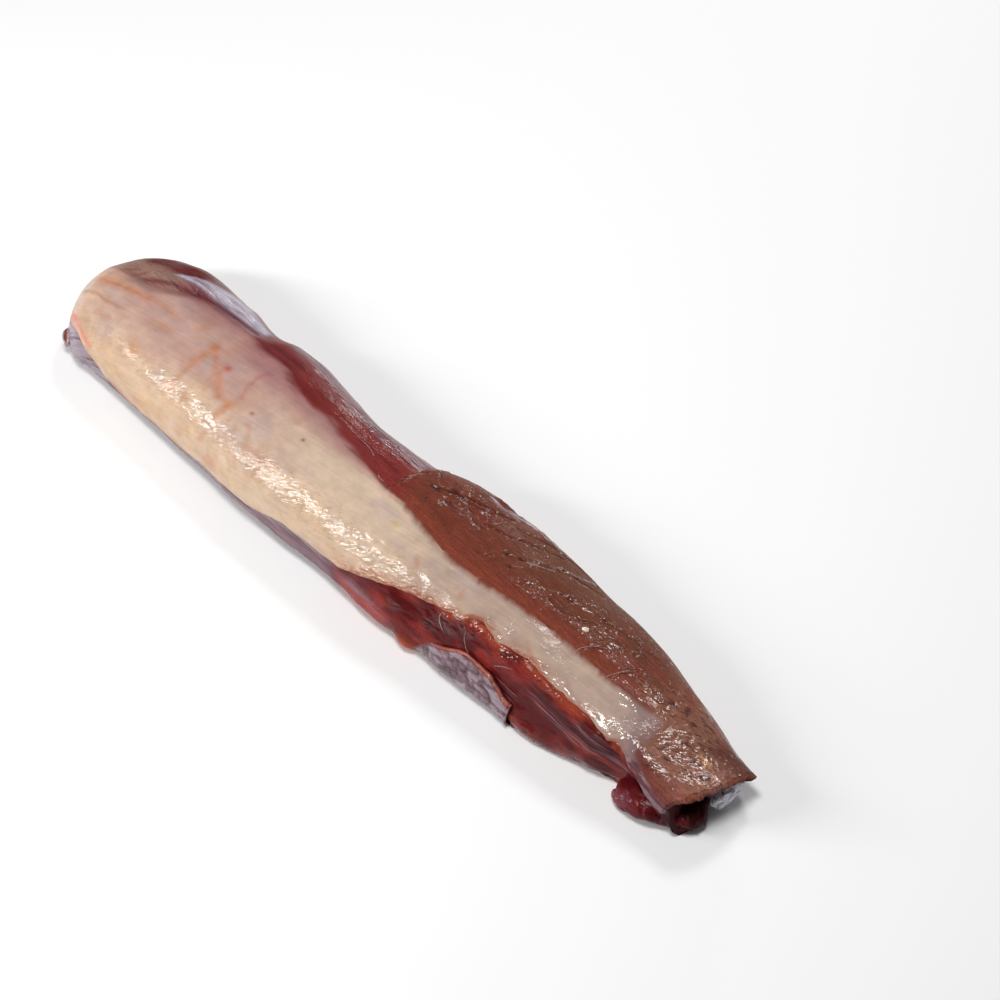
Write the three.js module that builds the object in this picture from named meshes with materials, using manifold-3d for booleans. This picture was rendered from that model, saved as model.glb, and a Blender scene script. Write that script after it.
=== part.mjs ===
// A raw venison backstrap: one trimmed loin muscle, lying on its flat side with the silverskin up.
// Millimetres. +X runs from the broad far end to the narrow cut end, +Y across the loin, +Z up.
import * as THREE from 'three';
import { mergeVertices } from 'three/addons/utils/BufferGeometryUtils.js';
import Module from 'manifold-3d';

const wasm = await Module();
wasm.setup();

// Length of the loin, from the middle of the broad end to the middle of the cut end.
const FAR_X = -222;
const NEAR_X = 204;

// Section sizes at evenly spaced stations from the far end to the near end: how far the loin
// reaches to the left and right of its axis, and how high the crest, the left belly and the
// right belly stand.
const LEFT_REACH = [37.5, 37, 36.5, 38, 39.5, 39.5, 37.5, 38, 34, 31.5, 28, 23, 21.5];
const RIGHT_REACH = [38.5, 39, 37.5, 39.5, 38, 33, 36, 42.5, 43, 39.5, 37.5, 28, 21.5];
const CREST_HEIGHT = [31, 39, 41, 42, 43, 43, 42, 41, 40, 38, 35, 31, 27];
const LEFT_BELLY = [12, 14, 14, 14, 14, 14, 13, 12, 12, 12, 12, 11, 10];
const RIGHT_BELLY = [14, 16, 16, 16, 16, 15, 14, 13, 13, 13, 12, 12, 12];

// The crest runs left of the axis. Exponents of the section's three superellipse arcs.
const CREST_Y = -10;
const TOP_LEFT_POWER = 2.2;
const TOP_RIGHT_POWER = 2.3;
const BOTTOM_POWER = 3.2;

// How much of the rounded underside is pressed flat by the loin's own weight.
const FLAT_DEPTH = 1.2;

// The far end rolls over in its last stretch and bows out round its middle.
const FAR_ROLL = 16;
const FAR_ROLL_SHARE = 0.9;
const FAR_WIDTH_KEPT = 0.78;
const FAR_HEIGHT_KEPT = 0.5;
const FAR_BOW = 0.012;
const FAR_BOW_Y = 1;

// The near end is cut on the slant, and its right half is undercut.
const NEAR_SLANT = 0.25;
const NEAR_UNDERCUT = 0.6;
const NEAR_UNDERCUT_Y = [-7, 5];
const NEAR_SLAB_BOTTOM = 15;
const NEAR_LEAN = 0.3;
const NEAR_LEAN_Y = [2, -14];
const NEAR_CORNER_TRIM = 2.2;
const NEAR_CORNER_Y = [6, 20];
const END_REACH = 60;
const NEAR_HOLLOW = 1.6;
const FAR_DOME = 1.5;

// Relief, by X and by the distance t round the section from the crest, right positive. A ramp is the
// place where a form starts and the place where it is full, and a spot is its middle and its reach.

// Red-brown muscle right of the silverskin strip. Its foot follows the strip's edge.
const STRIP_RIGHT_EDGE = [28, 22, 12, 8, 3, 2.5, 5, 8, 10, 14, 18];
const STRIP_FROM = -90;
const STRIP_TO = 190;
const BROWN_RISE = 2.4;
const BROWN_FRONT_RAMP = [-13, 12];
const BROWN_BACK_RAMP = [193, 163];
const BROWN_FOOT_RAMP = [-1, 8];
const BROWN_SIDE_RAMP = [78, 60];
const FRONT_BULGE_RISE = 1.2;
const FRONT_BULGE_RAMP = [-13, 0];
const FRONT_BULGE_END_RAMP = [34, 6];
const FRONT_BULGE_T_RAMP = [28, 44];
const FOLD_DEPTH = 1.4;
const FOLD_SPOT = [38, 14];
const FOLD_T_RAMP = [36, 50];

// Small shoulder muscle on the far right.
const SHOULDER_CREASE_T = [13, 31.5];
const SHOULDER_CREASE_RAMP = [-186, -152];
const SHOULDER_START_RAMP = [-208, -188];
const SHOULDER_END_RAMP = [-118, -134];
const CREASE_DEPTH = 0.9;
const CREASE_SPOT = [2.5, 8];
const SHOULDER_RISE = 1.4;
const SHOULDER_RISE_RAMP = [0, 10];
const SHOULDER_SIDE_RAMP = [70, 55];
const NOTCH_DEPTH = 3.5;
const NOTCH_SPOT = [-129, 17];
const NOTCH_T_RAMP = [28, 46];
const NOTCH_SIDE_RAMP = [78, 62];

// Dark side under the strip on the left, with a thin flap, a small tip and a bulge.
const HOLLOW_DEPTH = 2.6;
const HOLLOW_START_RAMP = [8, 45];
const HOLLOW_END_RAMP = [168, 140];
const HOLLOW_T_SPOT = [-27, 17];
const FLAP_RISE = 2.6;
const FLAP_START_RAMP = [47, 56];
const FLAP_END_RAMP = [107, 103];
const FLAP_RIM_T = -27;
const FLAP_RIM_DROPS = [{ drop: 9, along: [78, 54] }, { drop: 7, along: [88, 106] }];
const FLAP_RIM_RAMP = [3, -2];
const FLAP_LOW_RAMP = [-66, -50];
const TIP_RISE = 3;
const TIP_SPOT = [42, 9];
const TIP_T_SPOT = [-50, 10];
const BULGE_RISE = 3.4;
const BULGE_SPOT = [121, 27];
const BULGE_T_SPOT = [-48, 20];

// Lip of the upper slab on the left of the near end.
const LIP_DEPTH = 4.5;
const LIP_T = -11.5;
const LIP_DROP = 12;
const LIP_DROP_RAMP = [176, 203];
const LIP_START_RAMP = [146, 166];
const LIP_END_RAMP = [206, 190];
const LIP_EDGE_RAMP = [0, -6];
const LIP_LOW_RAMP = [-62, -44];

// Slow uneven swells: their height, their lengths along and across, and how they wander.
const LONG_SWELL = { rise: 0.45, along: 17, across: 9, sway: 0.8, swayAcross: 13, drift: 41, phase: 1.3 };
const SHORT_SWELL = { rise: 0.25, along: 7.3, lean: 6.1, across: 5.2, drift: 23 };
const SWELL_SIDE_RAMP = [74, 50];

// Soft lumps fused to the loin: the red lobe and its tip under the near end, the tags under the far
// end, and the torn flesh and the folded film in the cut end.
const LUMPS = [
  { at: [178, -18.4, 6.3], half: [14.2, 10.2, 6.2], turn: 0.12 },
  { at: [187.5, -15.3, 5.2], half: [12, 8.3, 5.1], turn: 0.25 },
  { at: [171.3, -24.8, 3.6], half: [7.6, 3.9, 3.5], turn: -0.1 },
  { at: [-207, -31.8, 9.8], half: [4.8, 3.6, 5], turn: -0.4 },
  { at: [-192.5, -32, 5.8], half: [16.5, 2.8, 4.5], turn: -0.16 },
  { at: [195.8, -10, 5.6], half: [9.2, 9.6, 5.5], turn: 0 },
  { at: [198.5, -3, 5.6], half: [5.2, 8.5, 5.4], turn: -0.2 },
  { at: [200.2, 10.4, 7.4], half: [4.4, 10.6, 5.4], turn: 0.14 },
];
const LUMP_DETAIL = 3;

// Fineness of the mesh.
const RINGS = 98;
const AROUND = 44;
const CAP_SCALES = [0.78, 0.5, 0.24];
const ARC_SAMPLES = 240;

// Moves the loin so that its box is centred over the origin.
const SHIFT = new THREE.Vector3(7.5, -2.6, 0);

const MEAT_COLOUR = 0x7c3b34;
const MEAT_ROUGHNESS = 0.35;

// How far a value is along a ramp, softly from 0 to 1.
function ramp([start, full], value) {
  const w = THREE.MathUtils.clamp((value - start) / (full - start), 0, 1);
  return w * w * (3 - 2 * w);
}

// Round bump of height 1 in the middle of a spot, gone at its reach to either side.
function bump(value, [middle, reach]) {
  const q = Math.max(1 - ((value - middle) / reach) ** 2, 0);
  return q * q;
}

function signedPower(value, exponent) {
  return Math.sign(value) * Math.abs(value) ** exponent;
}

// Curve through evenly spaced values, read at u from 0 to 1.
function stations(values) {
  const curve = new THREE.SplineCurve(values.map((value, i) => new THREE.Vector2(i, value)));
  return (u) => curve.getPoint(THREE.MathUtils.clamp(u, 0, 1)).y;
}

const leftReach = stations(LEFT_REACH);
const rightReach = stations(RIGHT_REACH);
const crestHeight = stations(CREST_HEIGHT);
const leftBelly = stations(LEFT_BELLY);
const rightBelly = stations(RIGHT_BELLY);
const stripEdge = stations(STRIP_RIGHT_EDGE);

// The bare section at x: points from the underside up the left, over the crest and down the right.
function section(x) {
  const u = (x - FAR_X) / (NEAR_X - FAR_X);
  const left = leftReach(u) + CREST_Y;
  const right = rightReach(u) - CREST_Y;
  const crest = crestHeight(u);
  const roll = THREE.MathUtils.clamp(1 - (x - FAR_X) / FAR_ROLL, 0, 1);
  const shrink = Math.sqrt(1 - FAR_ROLL_SHARE * roll * roll);
  const width = FAR_WIDTH_KEPT + (1 - FAR_WIDTH_KEPT) * shrink;
  const height = FAR_HEIGHT_KEPT + (1 - FAR_HEIGHT_KEPT) * shrink;
  const points = [];
  for (let i = 0; i <= ARC_SAMPLES; i++) {
    const angle = -Math.PI + (2 * Math.PI * i) / ARC_SAMPLES;
    const onTop = Math.cos(angle) >= 0;
    const belly = angle < 0 ? leftBelly(u) : rightBelly(u);
    const topPower = angle < 0 ? TOP_LEFT_POWER : TOP_RIGHT_POWER;
    const exponent = 2 / (onTop ? topPower : BOTTOM_POWER);
    const across = signedPower(Math.sin(angle), exponent) * (angle < 0 ? left : right);
    const up = signedPower(Math.cos(angle), exponent);
    const y = FAR_BOW_Y + (CREST_Y + across - FAR_BOW_Y) * width;
    const z = (belly + up * (onTop ? crest - belly : belly)) * height;
    points.push(new THREE.Vector2(y, Math.max(z - FLAT_DEPTH, 0)));
  }
  return points;
}

// Red-brown muscle right of the silverskin strip, which starts with a cut step across the loin.
function brownRise(x, t) {
  const edge = stripEdge((x - STRIP_FROM) / (STRIP_TO - STRIP_FROM));
  const along = ramp(BROWN_FRONT_RAMP, x) * ramp(BROWN_BACK_RAMP, x);
  const rise = BROWN_RISE * along * ramp(BROWN_FOOT_RAMP, t - edge);
  const bulgeAlong = ramp(FRONT_BULGE_RAMP, x) * ramp(FRONT_BULGE_END_RAMP, x);
  const bulge = FRONT_BULGE_RISE * bulgeAlong * ramp(FRONT_BULGE_T_RAMP, t);
  const fold = -FOLD_DEPTH * bump(x, FOLD_SPOT) * ramp(FOLD_T_RAMP, t);
  return (rise + bulge + fold) * ramp(BROWN_SIDE_RAMP, t);
}

// The shoulder muscle: a crease runs along it, then it swells and ends in a notch.
function shoulder(x, t) {
  const [creaseFrom, creaseTo] = SHOULDER_CREASE_T;
  const crease = creaseFrom + (creaseTo - creaseFrom) * ramp(SHOULDER_CREASE_RAMP, x);
  const along = ramp(SHOULDER_START_RAMP, x) * ramp(SHOULDER_END_RAMP, x);
  const groove = -CREASE_DEPTH * bump(t - crease, CREASE_SPOT);
  const swell = SHOULDER_RISE * ramp(SHOULDER_RISE_RAMP, t - crease) * ramp(SHOULDER_SIDE_RAMP, t);
  const notch = -NOTCH_DEPTH * bump(x, NOTCH_SPOT) * ramp(NOTCH_T_RAMP, t) * ramp(NOTCH_SIDE_RAMP, t);
  return along * (groove + swell) + notch;
}

// The left side: the hollow under the strip, the flap that stands off it, the tip and the bulge.
function leftSide(x, t) {
  const hollowAlong = ramp(HOLLOW_START_RAMP, x) * ramp(HOLLOW_END_RAMP, x);
  const hollow = -HOLLOW_DEPTH * hollowAlong * bump(t, HOLLOW_T_SPOT);
  let rim = FLAP_RIM_T;
  for (const { drop, along } of FLAP_RIM_DROPS) {
    rim -= drop * ramp(along, x);
  }
  const flapAlong = ramp(FLAP_START_RAMP, x) * ramp(FLAP_END_RAMP, x);
  const flap = FLAP_RISE * flapAlong * ramp(FLAP_RIM_RAMP, t - rim) * ramp(FLAP_LOW_RAMP, t);
  const tip = TIP_RISE * bump(x, TIP_SPOT) * bump(t, TIP_T_SPOT);
  const bulge = BULGE_RISE * bump(x, BULGE_SPOT) * bump(t, BULGE_T_SPOT);
  return hollow + flap + tip + bulge;
}

// The upper slab overhangs the left side along a lip near the cut end.
function nearLip(x, t) {
  const edge = LIP_T - LIP_DROP * ramp(LIP_DROP_RAMP, x);
  const along = ramp(LIP_START_RAMP, x) * ramp(LIP_END_RAMP, x);
  return -LIP_DEPTH * along * ramp(LIP_EDGE_RAMP, t - edge) * ramp(LIP_LOW_RAMP, t);
}

// Slow uneven swells of the flesh.
function swells(x, t) {
  const { sway, swayAcross, drift, phase } = LONG_SWELL;
  const sideways = Math.sin(t / LONG_SWELL.across + x / drift + phase);
  const long = Math.sin(x / LONG_SWELL.along + sway * Math.sin(t / swayAcross)) * sideways;
  const wave = Math.sin(x / SHORT_SWELL.along + t / SHORT_SWELL.lean);
  const short = wave * Math.sin(t / SHORT_SWELL.across - x / SHORT_SWELL.drift);
  return (LONG_SWELL.rise * long + SHORT_SWELL.rise * short) * ramp(SWELL_SIDE_RAMP, Math.abs(t));
}

function relief(x, t) {
  return brownRise(x, t) + shoulder(x, t) + leftSide(x, t) + nearLip(x, t) + swells(x, t);
}

// One ring of the loin: evenly spaced points round the section, moved out by the relief.
function ring(x) {
  const bare = section(x);
  const arc = [0];
  for (let i = 1; i < bare.length; i++) {
    arc.push(arc[i - 1] + bare[i].distanceTo(bare[i - 1]));
  }
  const crestArc = arc[ARC_SAMPLES / 2];
  const total = arc[ARC_SAMPLES];
  const points = [];
  let i = 1;
  for (let k = 0; k < AROUND; k++) {
    const want = (total * k) / AROUND;
    while (arc[i] < want) {
      i += 1;
    }
    const w = (want - arc[i - 1]) / Math.max(arc[i] - arc[i - 1], 1e-9);
    const point = bare[i - 1].clone().lerp(bare[i], w);
    const out = bare[i].clone().sub(bare[i - 1]).normalize();
    const rise = relief(x, want - crestArc);
    const y = point.x - out.y * rise;
    const z = Math.max(point.y + out.x * rise, 0);
    points.push(new THREE.Vector3(x + endOffset(x, y, z), y, point.y > 0 ? z : 0));
  }
  return points;
}

// How far a point moves along the loin for the bowed far end and the slanting, undercut near end.
function endOffset(x, y, z) {
  const bow = FAR_BOW * (y - FAR_BOW_Y) ** 2 * bump(x, [FAR_X, END_REACH]);
  const near = bump(x, [NEAR_X, END_REACH]);
  const slant = NEAR_SLANT * y * near;
  const undercut = NEAR_UNDERCUT * Math.max(NEAR_SLAB_BOTTOM - z, 0) * near * ramp(NEAR_UNDERCUT_Y, y);
  const lean = NEAR_LEAN * z * near * ramp(NEAR_LEAN_Y, y);
  const corner = NEAR_CORNER_TRIM * near * ramp(NEAR_CORNER_Y, y);
  return bow + slant - undercut - lean - corner;
}

// Rings that close an end: the last ring drawn in towards its centre and pushed along X.
function capRings(edge, push) {
  const centre = new THREE.Vector3();
  edge.forEach((point) => centre.addScaledVector(point, 1 / edge.length));
  const rings = CAP_SCALES.map((scale) =>
    edge.map((point) => {
      const moved = point.clone().sub(centre).multiplyScalar(scale).add(centre);
      moved.x += push * (1 - scale * scale);
      return moved;
    })
  );
  centre.x += push;
  return { rings, centre };
}

// The whole loin as one closed mesh of rings, with a capped centre point at each end.
function loinGeometry() {
  const body = [];
  for (let k = 0; k < RINGS; k++) {
    body.push(ring(FAR_X + ((NEAR_X - FAR_X) * k) / (RINGS - 1)));
  }
  const far = capRings(body[0], -FAR_DOME);
  const near = capRings(body[RINGS - 1], -NEAR_HOLLOW);
  const rings = [...far.rings.reverse(), ...body, ...near.rings];
  const points = [far.centre, ...rings.flat(), near.centre];
  const faces = [];
  const vertex = (row, k) => 1 + row * AROUND + (k % AROUND);
  for (let k = 0; k < AROUND; k++) {
    faces.push(0, vertex(0, k), vertex(0, k + 1));
    for (let row = 0; row + 1 < rings.length; row++) {
      faces.push(vertex(row, k), vertex(row + 1, k), vertex(row, k + 1));
      faces.push(vertex(row, k + 1), vertex(row + 1, k), vertex(row + 1, k + 1));
    }
    faces.push(points.length - 1, vertex(rings.length - 1, k + 1), vertex(rings.length - 1, k));
  }
  const geometry = new THREE.BufferGeometry();
  geometry.setAttribute('position', new THREE.BufferAttribute(
    new Float32Array(points.flatMap((point) => point.toArray())), 3));
  geometry.setIndex(faces);
  return geometry;
}

// A soft rounded lump with three half sizes, turned about the vertical.
function lumpGeometry({ at, half, turn }) {
  const geometry = new THREE.IcosahedronGeometry(1, LUMP_DETAIL);
  geometry.scale(...half);
  geometry.rotateZ(turn);
  geometry.translate(...at);
  geometry.deleteAttribute('normal');
  geometry.deleteAttribute('uv');
  return mergeVertices(geometry);
}

function toSolid(geometry) {
  return new wasm.Manifold(new wasm.Mesh({
    numProp: 3,
    vertProperties: new Float32Array(geometry.getAttribute('position').array),
    triVerts: new Uint32Array(geometry.getIndex().array),
  }));
}

function toGeometry(solid) {
  const mesh = solid.getMesh();
  const geometry = new THREE.BufferGeometry();
  geometry.setAttribute('position', new THREE.BufferAttribute(mesh.vertProperties, 3));
  geometry.setIndex(new THREE.BufferAttribute(mesh.triVerts, 1));
  return geometry;
}

function backstrapGeometry() {
  let solid = toSolid(loinGeometry());
  for (const lump of LUMPS) {
    solid = solid.add(toSolid(lumpGeometry(lump)));
  }
  const geometry = toGeometry(solid);
  geometry.translate(SHIFT.x, SHIFT.y, SHIFT.z);
  geometry.computeVertexNormals();
  return geometry;
}

const meat = new THREE.MeshStandardMaterial({
  color: MEAT_COLOUR, roughness: MEAT_ROUGHNESS, metalness: 0,
});
const backstrap = new THREE.Mesh(backstrapGeometry(), meat);
backstrap.name = 'backstrap';

const model = new THREE.Group();
model.add(backstrap);

export default model;
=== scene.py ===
# Looks of a raw venison backstrap: one trimmed loin lying on its flat side with the silverskin up.
# Sizes of the loin are in millimetres, as stations x along it and arcs t round it from its crest,
# right positive. They become metres in surface(), where every mesh point of the loin is placed.
# The first two numbers in step(a, b, x) or step(a, b, t) are such stations or arcs, and the numbers
# that divide x and t in fractal() are the lengths of its cells along and across the loin.
import math

import bmesh
import bpy
import numpy as np
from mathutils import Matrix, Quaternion, Vector


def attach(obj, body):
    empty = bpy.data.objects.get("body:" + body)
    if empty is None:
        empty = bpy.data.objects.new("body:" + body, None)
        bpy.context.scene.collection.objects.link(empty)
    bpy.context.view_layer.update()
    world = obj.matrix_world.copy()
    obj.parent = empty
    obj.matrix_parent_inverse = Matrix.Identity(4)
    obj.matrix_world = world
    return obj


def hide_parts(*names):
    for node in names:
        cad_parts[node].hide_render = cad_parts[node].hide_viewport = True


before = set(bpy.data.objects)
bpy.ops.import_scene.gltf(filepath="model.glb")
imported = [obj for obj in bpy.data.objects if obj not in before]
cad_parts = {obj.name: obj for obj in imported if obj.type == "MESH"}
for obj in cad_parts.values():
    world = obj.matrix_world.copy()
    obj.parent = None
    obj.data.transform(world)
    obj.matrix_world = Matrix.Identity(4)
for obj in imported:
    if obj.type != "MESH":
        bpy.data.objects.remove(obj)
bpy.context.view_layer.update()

MM = 0.001

# Camera: where it stands round the loin, how far off, what it looks at and how long its lens is.
CAMERA_AZIMUTH = math.radians(-43.3)
CAMERA_ELEVATION = math.radians(50)
CAMERA_DISTANCE = 1.5
CAMERA_TARGET = Vector((0.0269, 0.0415, 0.02))
CAMERA_LENS = 116.1
CAMERA_SENSOR = 36
CAMERA_REACH = 20

# Studio: name, azimuth and elevation in degrees, distance, size in metres, power and roll of each light.
LIGHTS = [
    ("left_front", -123.7, 29.3, 1.02, (0.62, 0.15), 6.4, 49),
    ("back", 116, 14, 1.2, (0.26, 0.08), 1.4, 0),
    ("back_high", 107, 50, 1.3, (0.24, 0.24), 4.6, 0),
    ("top", -60, 80, 1.4, (0.36, 0.36), 10.5, 0),
]
WORLD_STRENGTH = 0.12
FLOOR_SIZE = 8
FLOOR_GAP = 0.0004

# Form of the loin, the same as in the part's own source. Each list holds values at thirteen even
# stations, from the far end to the near one.
FAR_X, NEAR_X = -222.0, 204.0
LEFT_REACH = [37.5, 37, 36.5, 38, 39.5, 39.5, 37.5, 38, 34, 31.5, 28, 23, 21.5]
RIGHT_REACH = [38.5, 39, 37.5, 39.5, 38, 33, 36, 42.5, 43, 39.5, 37.5, 28, 21.5]
CREST_HEIGHT = [31, 39, 41, 42, 43, 43, 42, 41, 40, 38, 35, 31, 27]
LEFT_BELLY = [12, 14, 14, 14, 14, 14, 13, 12, 12, 12, 12, 11, 10]
RIGHT_BELLY = [14, 16, 16, 16, 16, 15, 14, 13, 13, 13, 12, 12, 12]
CREST_Y = -10.0
TOP_LEFT_POWER, TOP_RIGHT_POWER, BOTTOM_POWER = 2.2, 2.3, 3.2
FLAT_DEPTH = 1.2
FAR_ROLL, FAR_WIDTH_KEPT, FAR_HEIGHT_KEPT = 16.0, 0.78, 0.5
FAR_BOW, FAR_BOW_Y = 0.012, 1.0
NEAR_SLANT, NEAR_UNDERCUT, NEAR_SLAB_BOTTOM = 0.25, 0.6, 15.0
NEAR_LEAN, NEAR_CORNER_TRIM = 0.3, 2.2
END_REACH, NEAR_HOLLOW, FAR_DOME = 60.0, 1.6, 1.5
SHIFT_X, SHIFT_Y = 7.5, -2.6

# Upper and lower edge of the silverskin as places (x, t), and where its strip ends near the cut end.
SKIN_UPPER_EDGE = [
    (-222, 13), (-204, 12.5), (-189, 12.5), (-181, 14.5), (-174, 19), (-166, 24), (-155, 27.5),
    (-142, 28), (-128, 29.5), (-118, 25.5), (-100, 22.7), (-88, 20.6), (-74, 17.5), (-55, 15.9),
    (-42, 14), (-31, 12), (-18, 9.5), (4, 8), (28, 3.6), (40, 2.4), (63, 3.7), (78, 6.6), (109, 9.6),
    (139, 9.8), (151, 11.7), (170, 15), (210, 15),
]
SKIN_LOWER_EDGE = [
    (-222, -21), (-211, -27), (-203, -32), (-197, -36), (-185, -41), (-173, -45.5), (-159, -48),
    (-100, -48.5), (-75, -47.5), (-63, -47), (-52, -44.5), (-41, -41.5), (-30, -40), (-10, -39),
    (-2, -38), (5, -35.5), (17, -31), (23, -29), (37, -24), (50, -20), (61, -17.5), (67, -16),
    (70, -12.5), (75, -10.7), (82, -11.6), (88, -13.2), (94, -11), (104, -9.1), (122, -11),
    (139, -10), (157, -11.5), (163, -9), (210, -9),
]
STRIP_END_X = 169.0

# Left edge of the brown muscle: along the strip, then down to the lip of the slab at the cut end.
BROWN_LEFT_EDGE = [
    (-20, 9.5), (4, 7.5), (28, 3), (40, 1.8), (63, 3.2), (78, 6), (109, 9), (139, 9.3), (151, 10),
    (158, 6), (164, -2), (169, -10), (176, -13.5), (186, -18.5), (194, -24), (210, -28),
]
# Where the slab is cut, and how far its cut edge hangs over at arcs t: its middle hangs over and its
# left wall draws back.
BROWN_END_X = 204.6
NEAR_OVERHANG = [(-28, -6), (-20, -3), (-14, -0.5), (-9, 3), (-4, 6.5), (2, 7), (8, 4), (14, 1), (50, 0)]

# The flap on the dark side: from and to which station it runs, and the arc of its foot.
FLAP_FROM, FLAP_TO, FLAP_FOOT = 48, 105.2, -72

# How thick each sheet is, how deep the muscle is sunk under the silverskin, and how much thicker the
# silverskin is where it hasn't thinned out.
SKIN_SHEET, BROWN_SHEET, FLAP_SHEET = 1.0, 2.4, 1.5
SKIN_BED = 0.35
SKIN_THICKNESS = 0.35

# Lines on the far shoulder: the white film's middle, its dark patch, its creases, edge and nicks.
FILM_MIDDLE = [(-190, 25), (-183, 30), (-171, 35), (-157, 40), (-141, 39.5), (-128, 38)]
SHOULDER_PATCH = [(-206, 33.5), (-197, 35), (-188, 35), (-179, 41), (-168, 47)]
SHOULDER_CREASE = [(-166.5, 27.5), (-154, 30.5), (-141, 32), (-128, 34)]
FAR_CREASE = [(-192, 16), (-180, 21.5), (-166, 27.5)]
FAR_EDGE = [(-206, 13.5), (-190, 14.5), (-182, 17)]
FAR_NICKS = [([(-207, 13.5), (-202, 19)], 1.6), ([(-199, 13), (-196, 20)], 1.8)]
SHOULDER_STRANDS = [(-184, 28), (-163, 36.5), (-146, 39), (-135, 38)]

# Strands on the red muscle: the edge that they start from on the right, and lines on the dark side.
STRAND_EDGE = [(-140, 58), (-110, 42), (-83, 36), (-60, 31), (-32, 27.5), (-12, 29)]
DARK_SIDE_STRANDS = [
    [(112, -20), (134, -25), (147, -23.4), (165, -20.4)],
    [(140, -16), (159, -18.3), (172, -20)],
    [(60, -38), (84, -33), (104, -30)],
    [(8, -38), (22, -44), (34, -48)],
]
# Line of a furrow on the dark side, where painted shade is laid.
DARK_SIDE_FURROW = [(118, -18), (140, -20), (160, -21), (176, -24)]

# Grooves in the brown muscle, as their depth, their width and their line.
BROWN_GROOVES = [
    (1.0, 0.8, [(3, 27), (11, 31), (25, 37), (34, 39), (41, 44)]),
    (0.7, 0.8, [(37, 28), (49, 32), (57, 37), (71, 46)]),
    (0.5, 0.6, [(-9, 47), (-4, 41), (0, 35)]),
    (0.5, 0.7, [(17, 31), (24, 33), (33, 36)]),
    (0.45, 0.8, [(62, 25), (72, 33), (83, 40), (96, 46)]),
    (0.6, 0.8, [(46, 40), (60, 47), (76, 52), (92, 53)]),
    (0.4, 0.7, [(88, 20), (96, 19), (104, 22), (110, 25)]),
    (0.4, 0.7, [(112, 30), (124, 34), (140, 36)]),
    (0.35, 0.7, [(14, 22), (22, 24), (30, 26), (38, 25)]),
]
# Thin raised lines that cross the brown muscle's fibres.
BROWN_CREASES = [
    [(115.5, 9), (116.5, 15), (121.5, 19)],
    [(135.7, 12), (137, 17), (139.5, 22.5)],
    [(156, 22), (159.5, 20), (161, 15)],
    [(51, 12), (52, 18)],
]
# Rows of fine puckers on the brown muscle.
PUCKER_ROWS = [
    [(9, 18), (17.7, 24.8), (26, 29), (35.4, 31), (50.4, 34.6), (62, 44), (69.6, 52)],
    [(56, 22), (63, 29), (75, 37.4), (84, 42.3), (90, 52.8)],
    [(62, 18), (69.6, 28.4), (80, 38), (98, 42.8)],
    [(84.5, 22.8), (94.5, 30.7), (104.4, 35.3), (116, 38)],
    [(74.6, 14.7), (75.3, 19.4)],
    [(93, 27.6), (108.7, 30.8), (120, 34)],
    [(30.5, 46), (41, 41.5), (46, 44), (58, 51)],
    [(-8.6, 14.3), (-10.3, 20), (-10, 34), (-6, 39)],
    [(124, 36), (137, 36.6), (141.4, 46.8), (150, 47.4)],
    [(117, 21.3), (128, 26), (134, 30)],
]
# Dark pits among the grooves at its front and middle.
BROWN_PITS = [
    (4, 26.8), (7.7, 26), (9, 18), (12, 33), (17, 24.7), (26, 29), (57, 23), (63, 18.5), (63, 26),
    (93, 27.6), (162, 24), (200, 7), (186, 2),
]
# Pale films at the brown muscle's outline, and the streak of fat near the cut end.
OUTLINE_FILMS = [
    [(24, 47), (38, 48.5), (50, 49.5), (62, 51.5)],
    [(150, 45), (161, 42), (170, 38.6)],
    [(176, 38.5), (189, 35.4), (200.4, 31.4)],
]
FAT_LINE = [(188, 14.5), (194, 13.6)]

# Finely puckered spots on the silverskin, on the dark side and near the cut end, as their place and
# their half sizes along and across the loin. Those near the cut end have their strength before them.
PUCKERED_SPOTS = [
    ((48, -11), 9, 5), ((75, -11), 5, 5), ((85, -3), 4, 3), ((94, -10), 5, 4), ((108, -8), 6, 3),
    ((122, -7), 5, 3), ((140, -6), 6, 4), ((156, -3), 6, 5), ((166, 3), 5, 5),
]
DARK_SIDE_GLINTS = [
    ((72, -18), 5, 4), ((77, -12), 5, 4), ((94, -13), 4, 5), ((52, -30), 4, 3), ((33, -33), 4, 3),
    ((118, -42), 14, 6), ((140, -38), 12, 5), ((60, -24), 8, 3),
]
NEAR_PUCKERS = [
    (1.0, (182, 11), 14, 10), (1.0, (200, 6), 6.5, 7), (0.9, (187, -4), 12, 3.2),
    (0.8, (158, 21), 11, 5), (0.9, (175, 26), 14, 6.5),
]

# Colours in linear light. The silverskin's:
CREAM = (0.60, 0.45, 0.335)
CREAM_FAR = (0.56, 0.385, 0.29)
CREAM_WARM = (0.60, 0.40, 0.245)
PINK = (0.46, 0.285, 0.24)
MAUVE = (0.33, 0.15, 0.15)
FAR_MAUVE = (0.28, 0.14, 0.13)
# The strip's grey, partly painted shade on its middle.
STRIP_GREY_AND_SHADE = (0.40, 0.285, 0.23)
STRIP_PALE = (0.475, 0.35, 0.285)
STRIP_END_GREY = (0.225, 0.130, 0.135)
SEAM_BROWN = (0.32, 0.20, 0.17)
ORANGE = (0.46, 0.17, 0.075)
STREAK_BROWN = (0.36, 0.19, 0.11)
STAIN = (0.47, 0.25, 0.14)
BLOTCH = (0.47, 0.235, 0.145)
YELLOW_STAIN = (0.55, 0.34, 0.17)
GREY_STAIN = (0.42, 0.33, 0.33)
VEIN_RED = (0.40, 0.14, 0.12)
BLOOD_SPOT = (0.46, 0.08, 0.04)
YELLOW_SPOT = (0.50, 0.36, 0.10)
DARK_SPECK = (0.05, 0.02, 0.02)
BROWN_SPECK = (0.2, 0.08, 0.05)
FRINGE_RED = (0.30, 0.085, 0.04)
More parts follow.
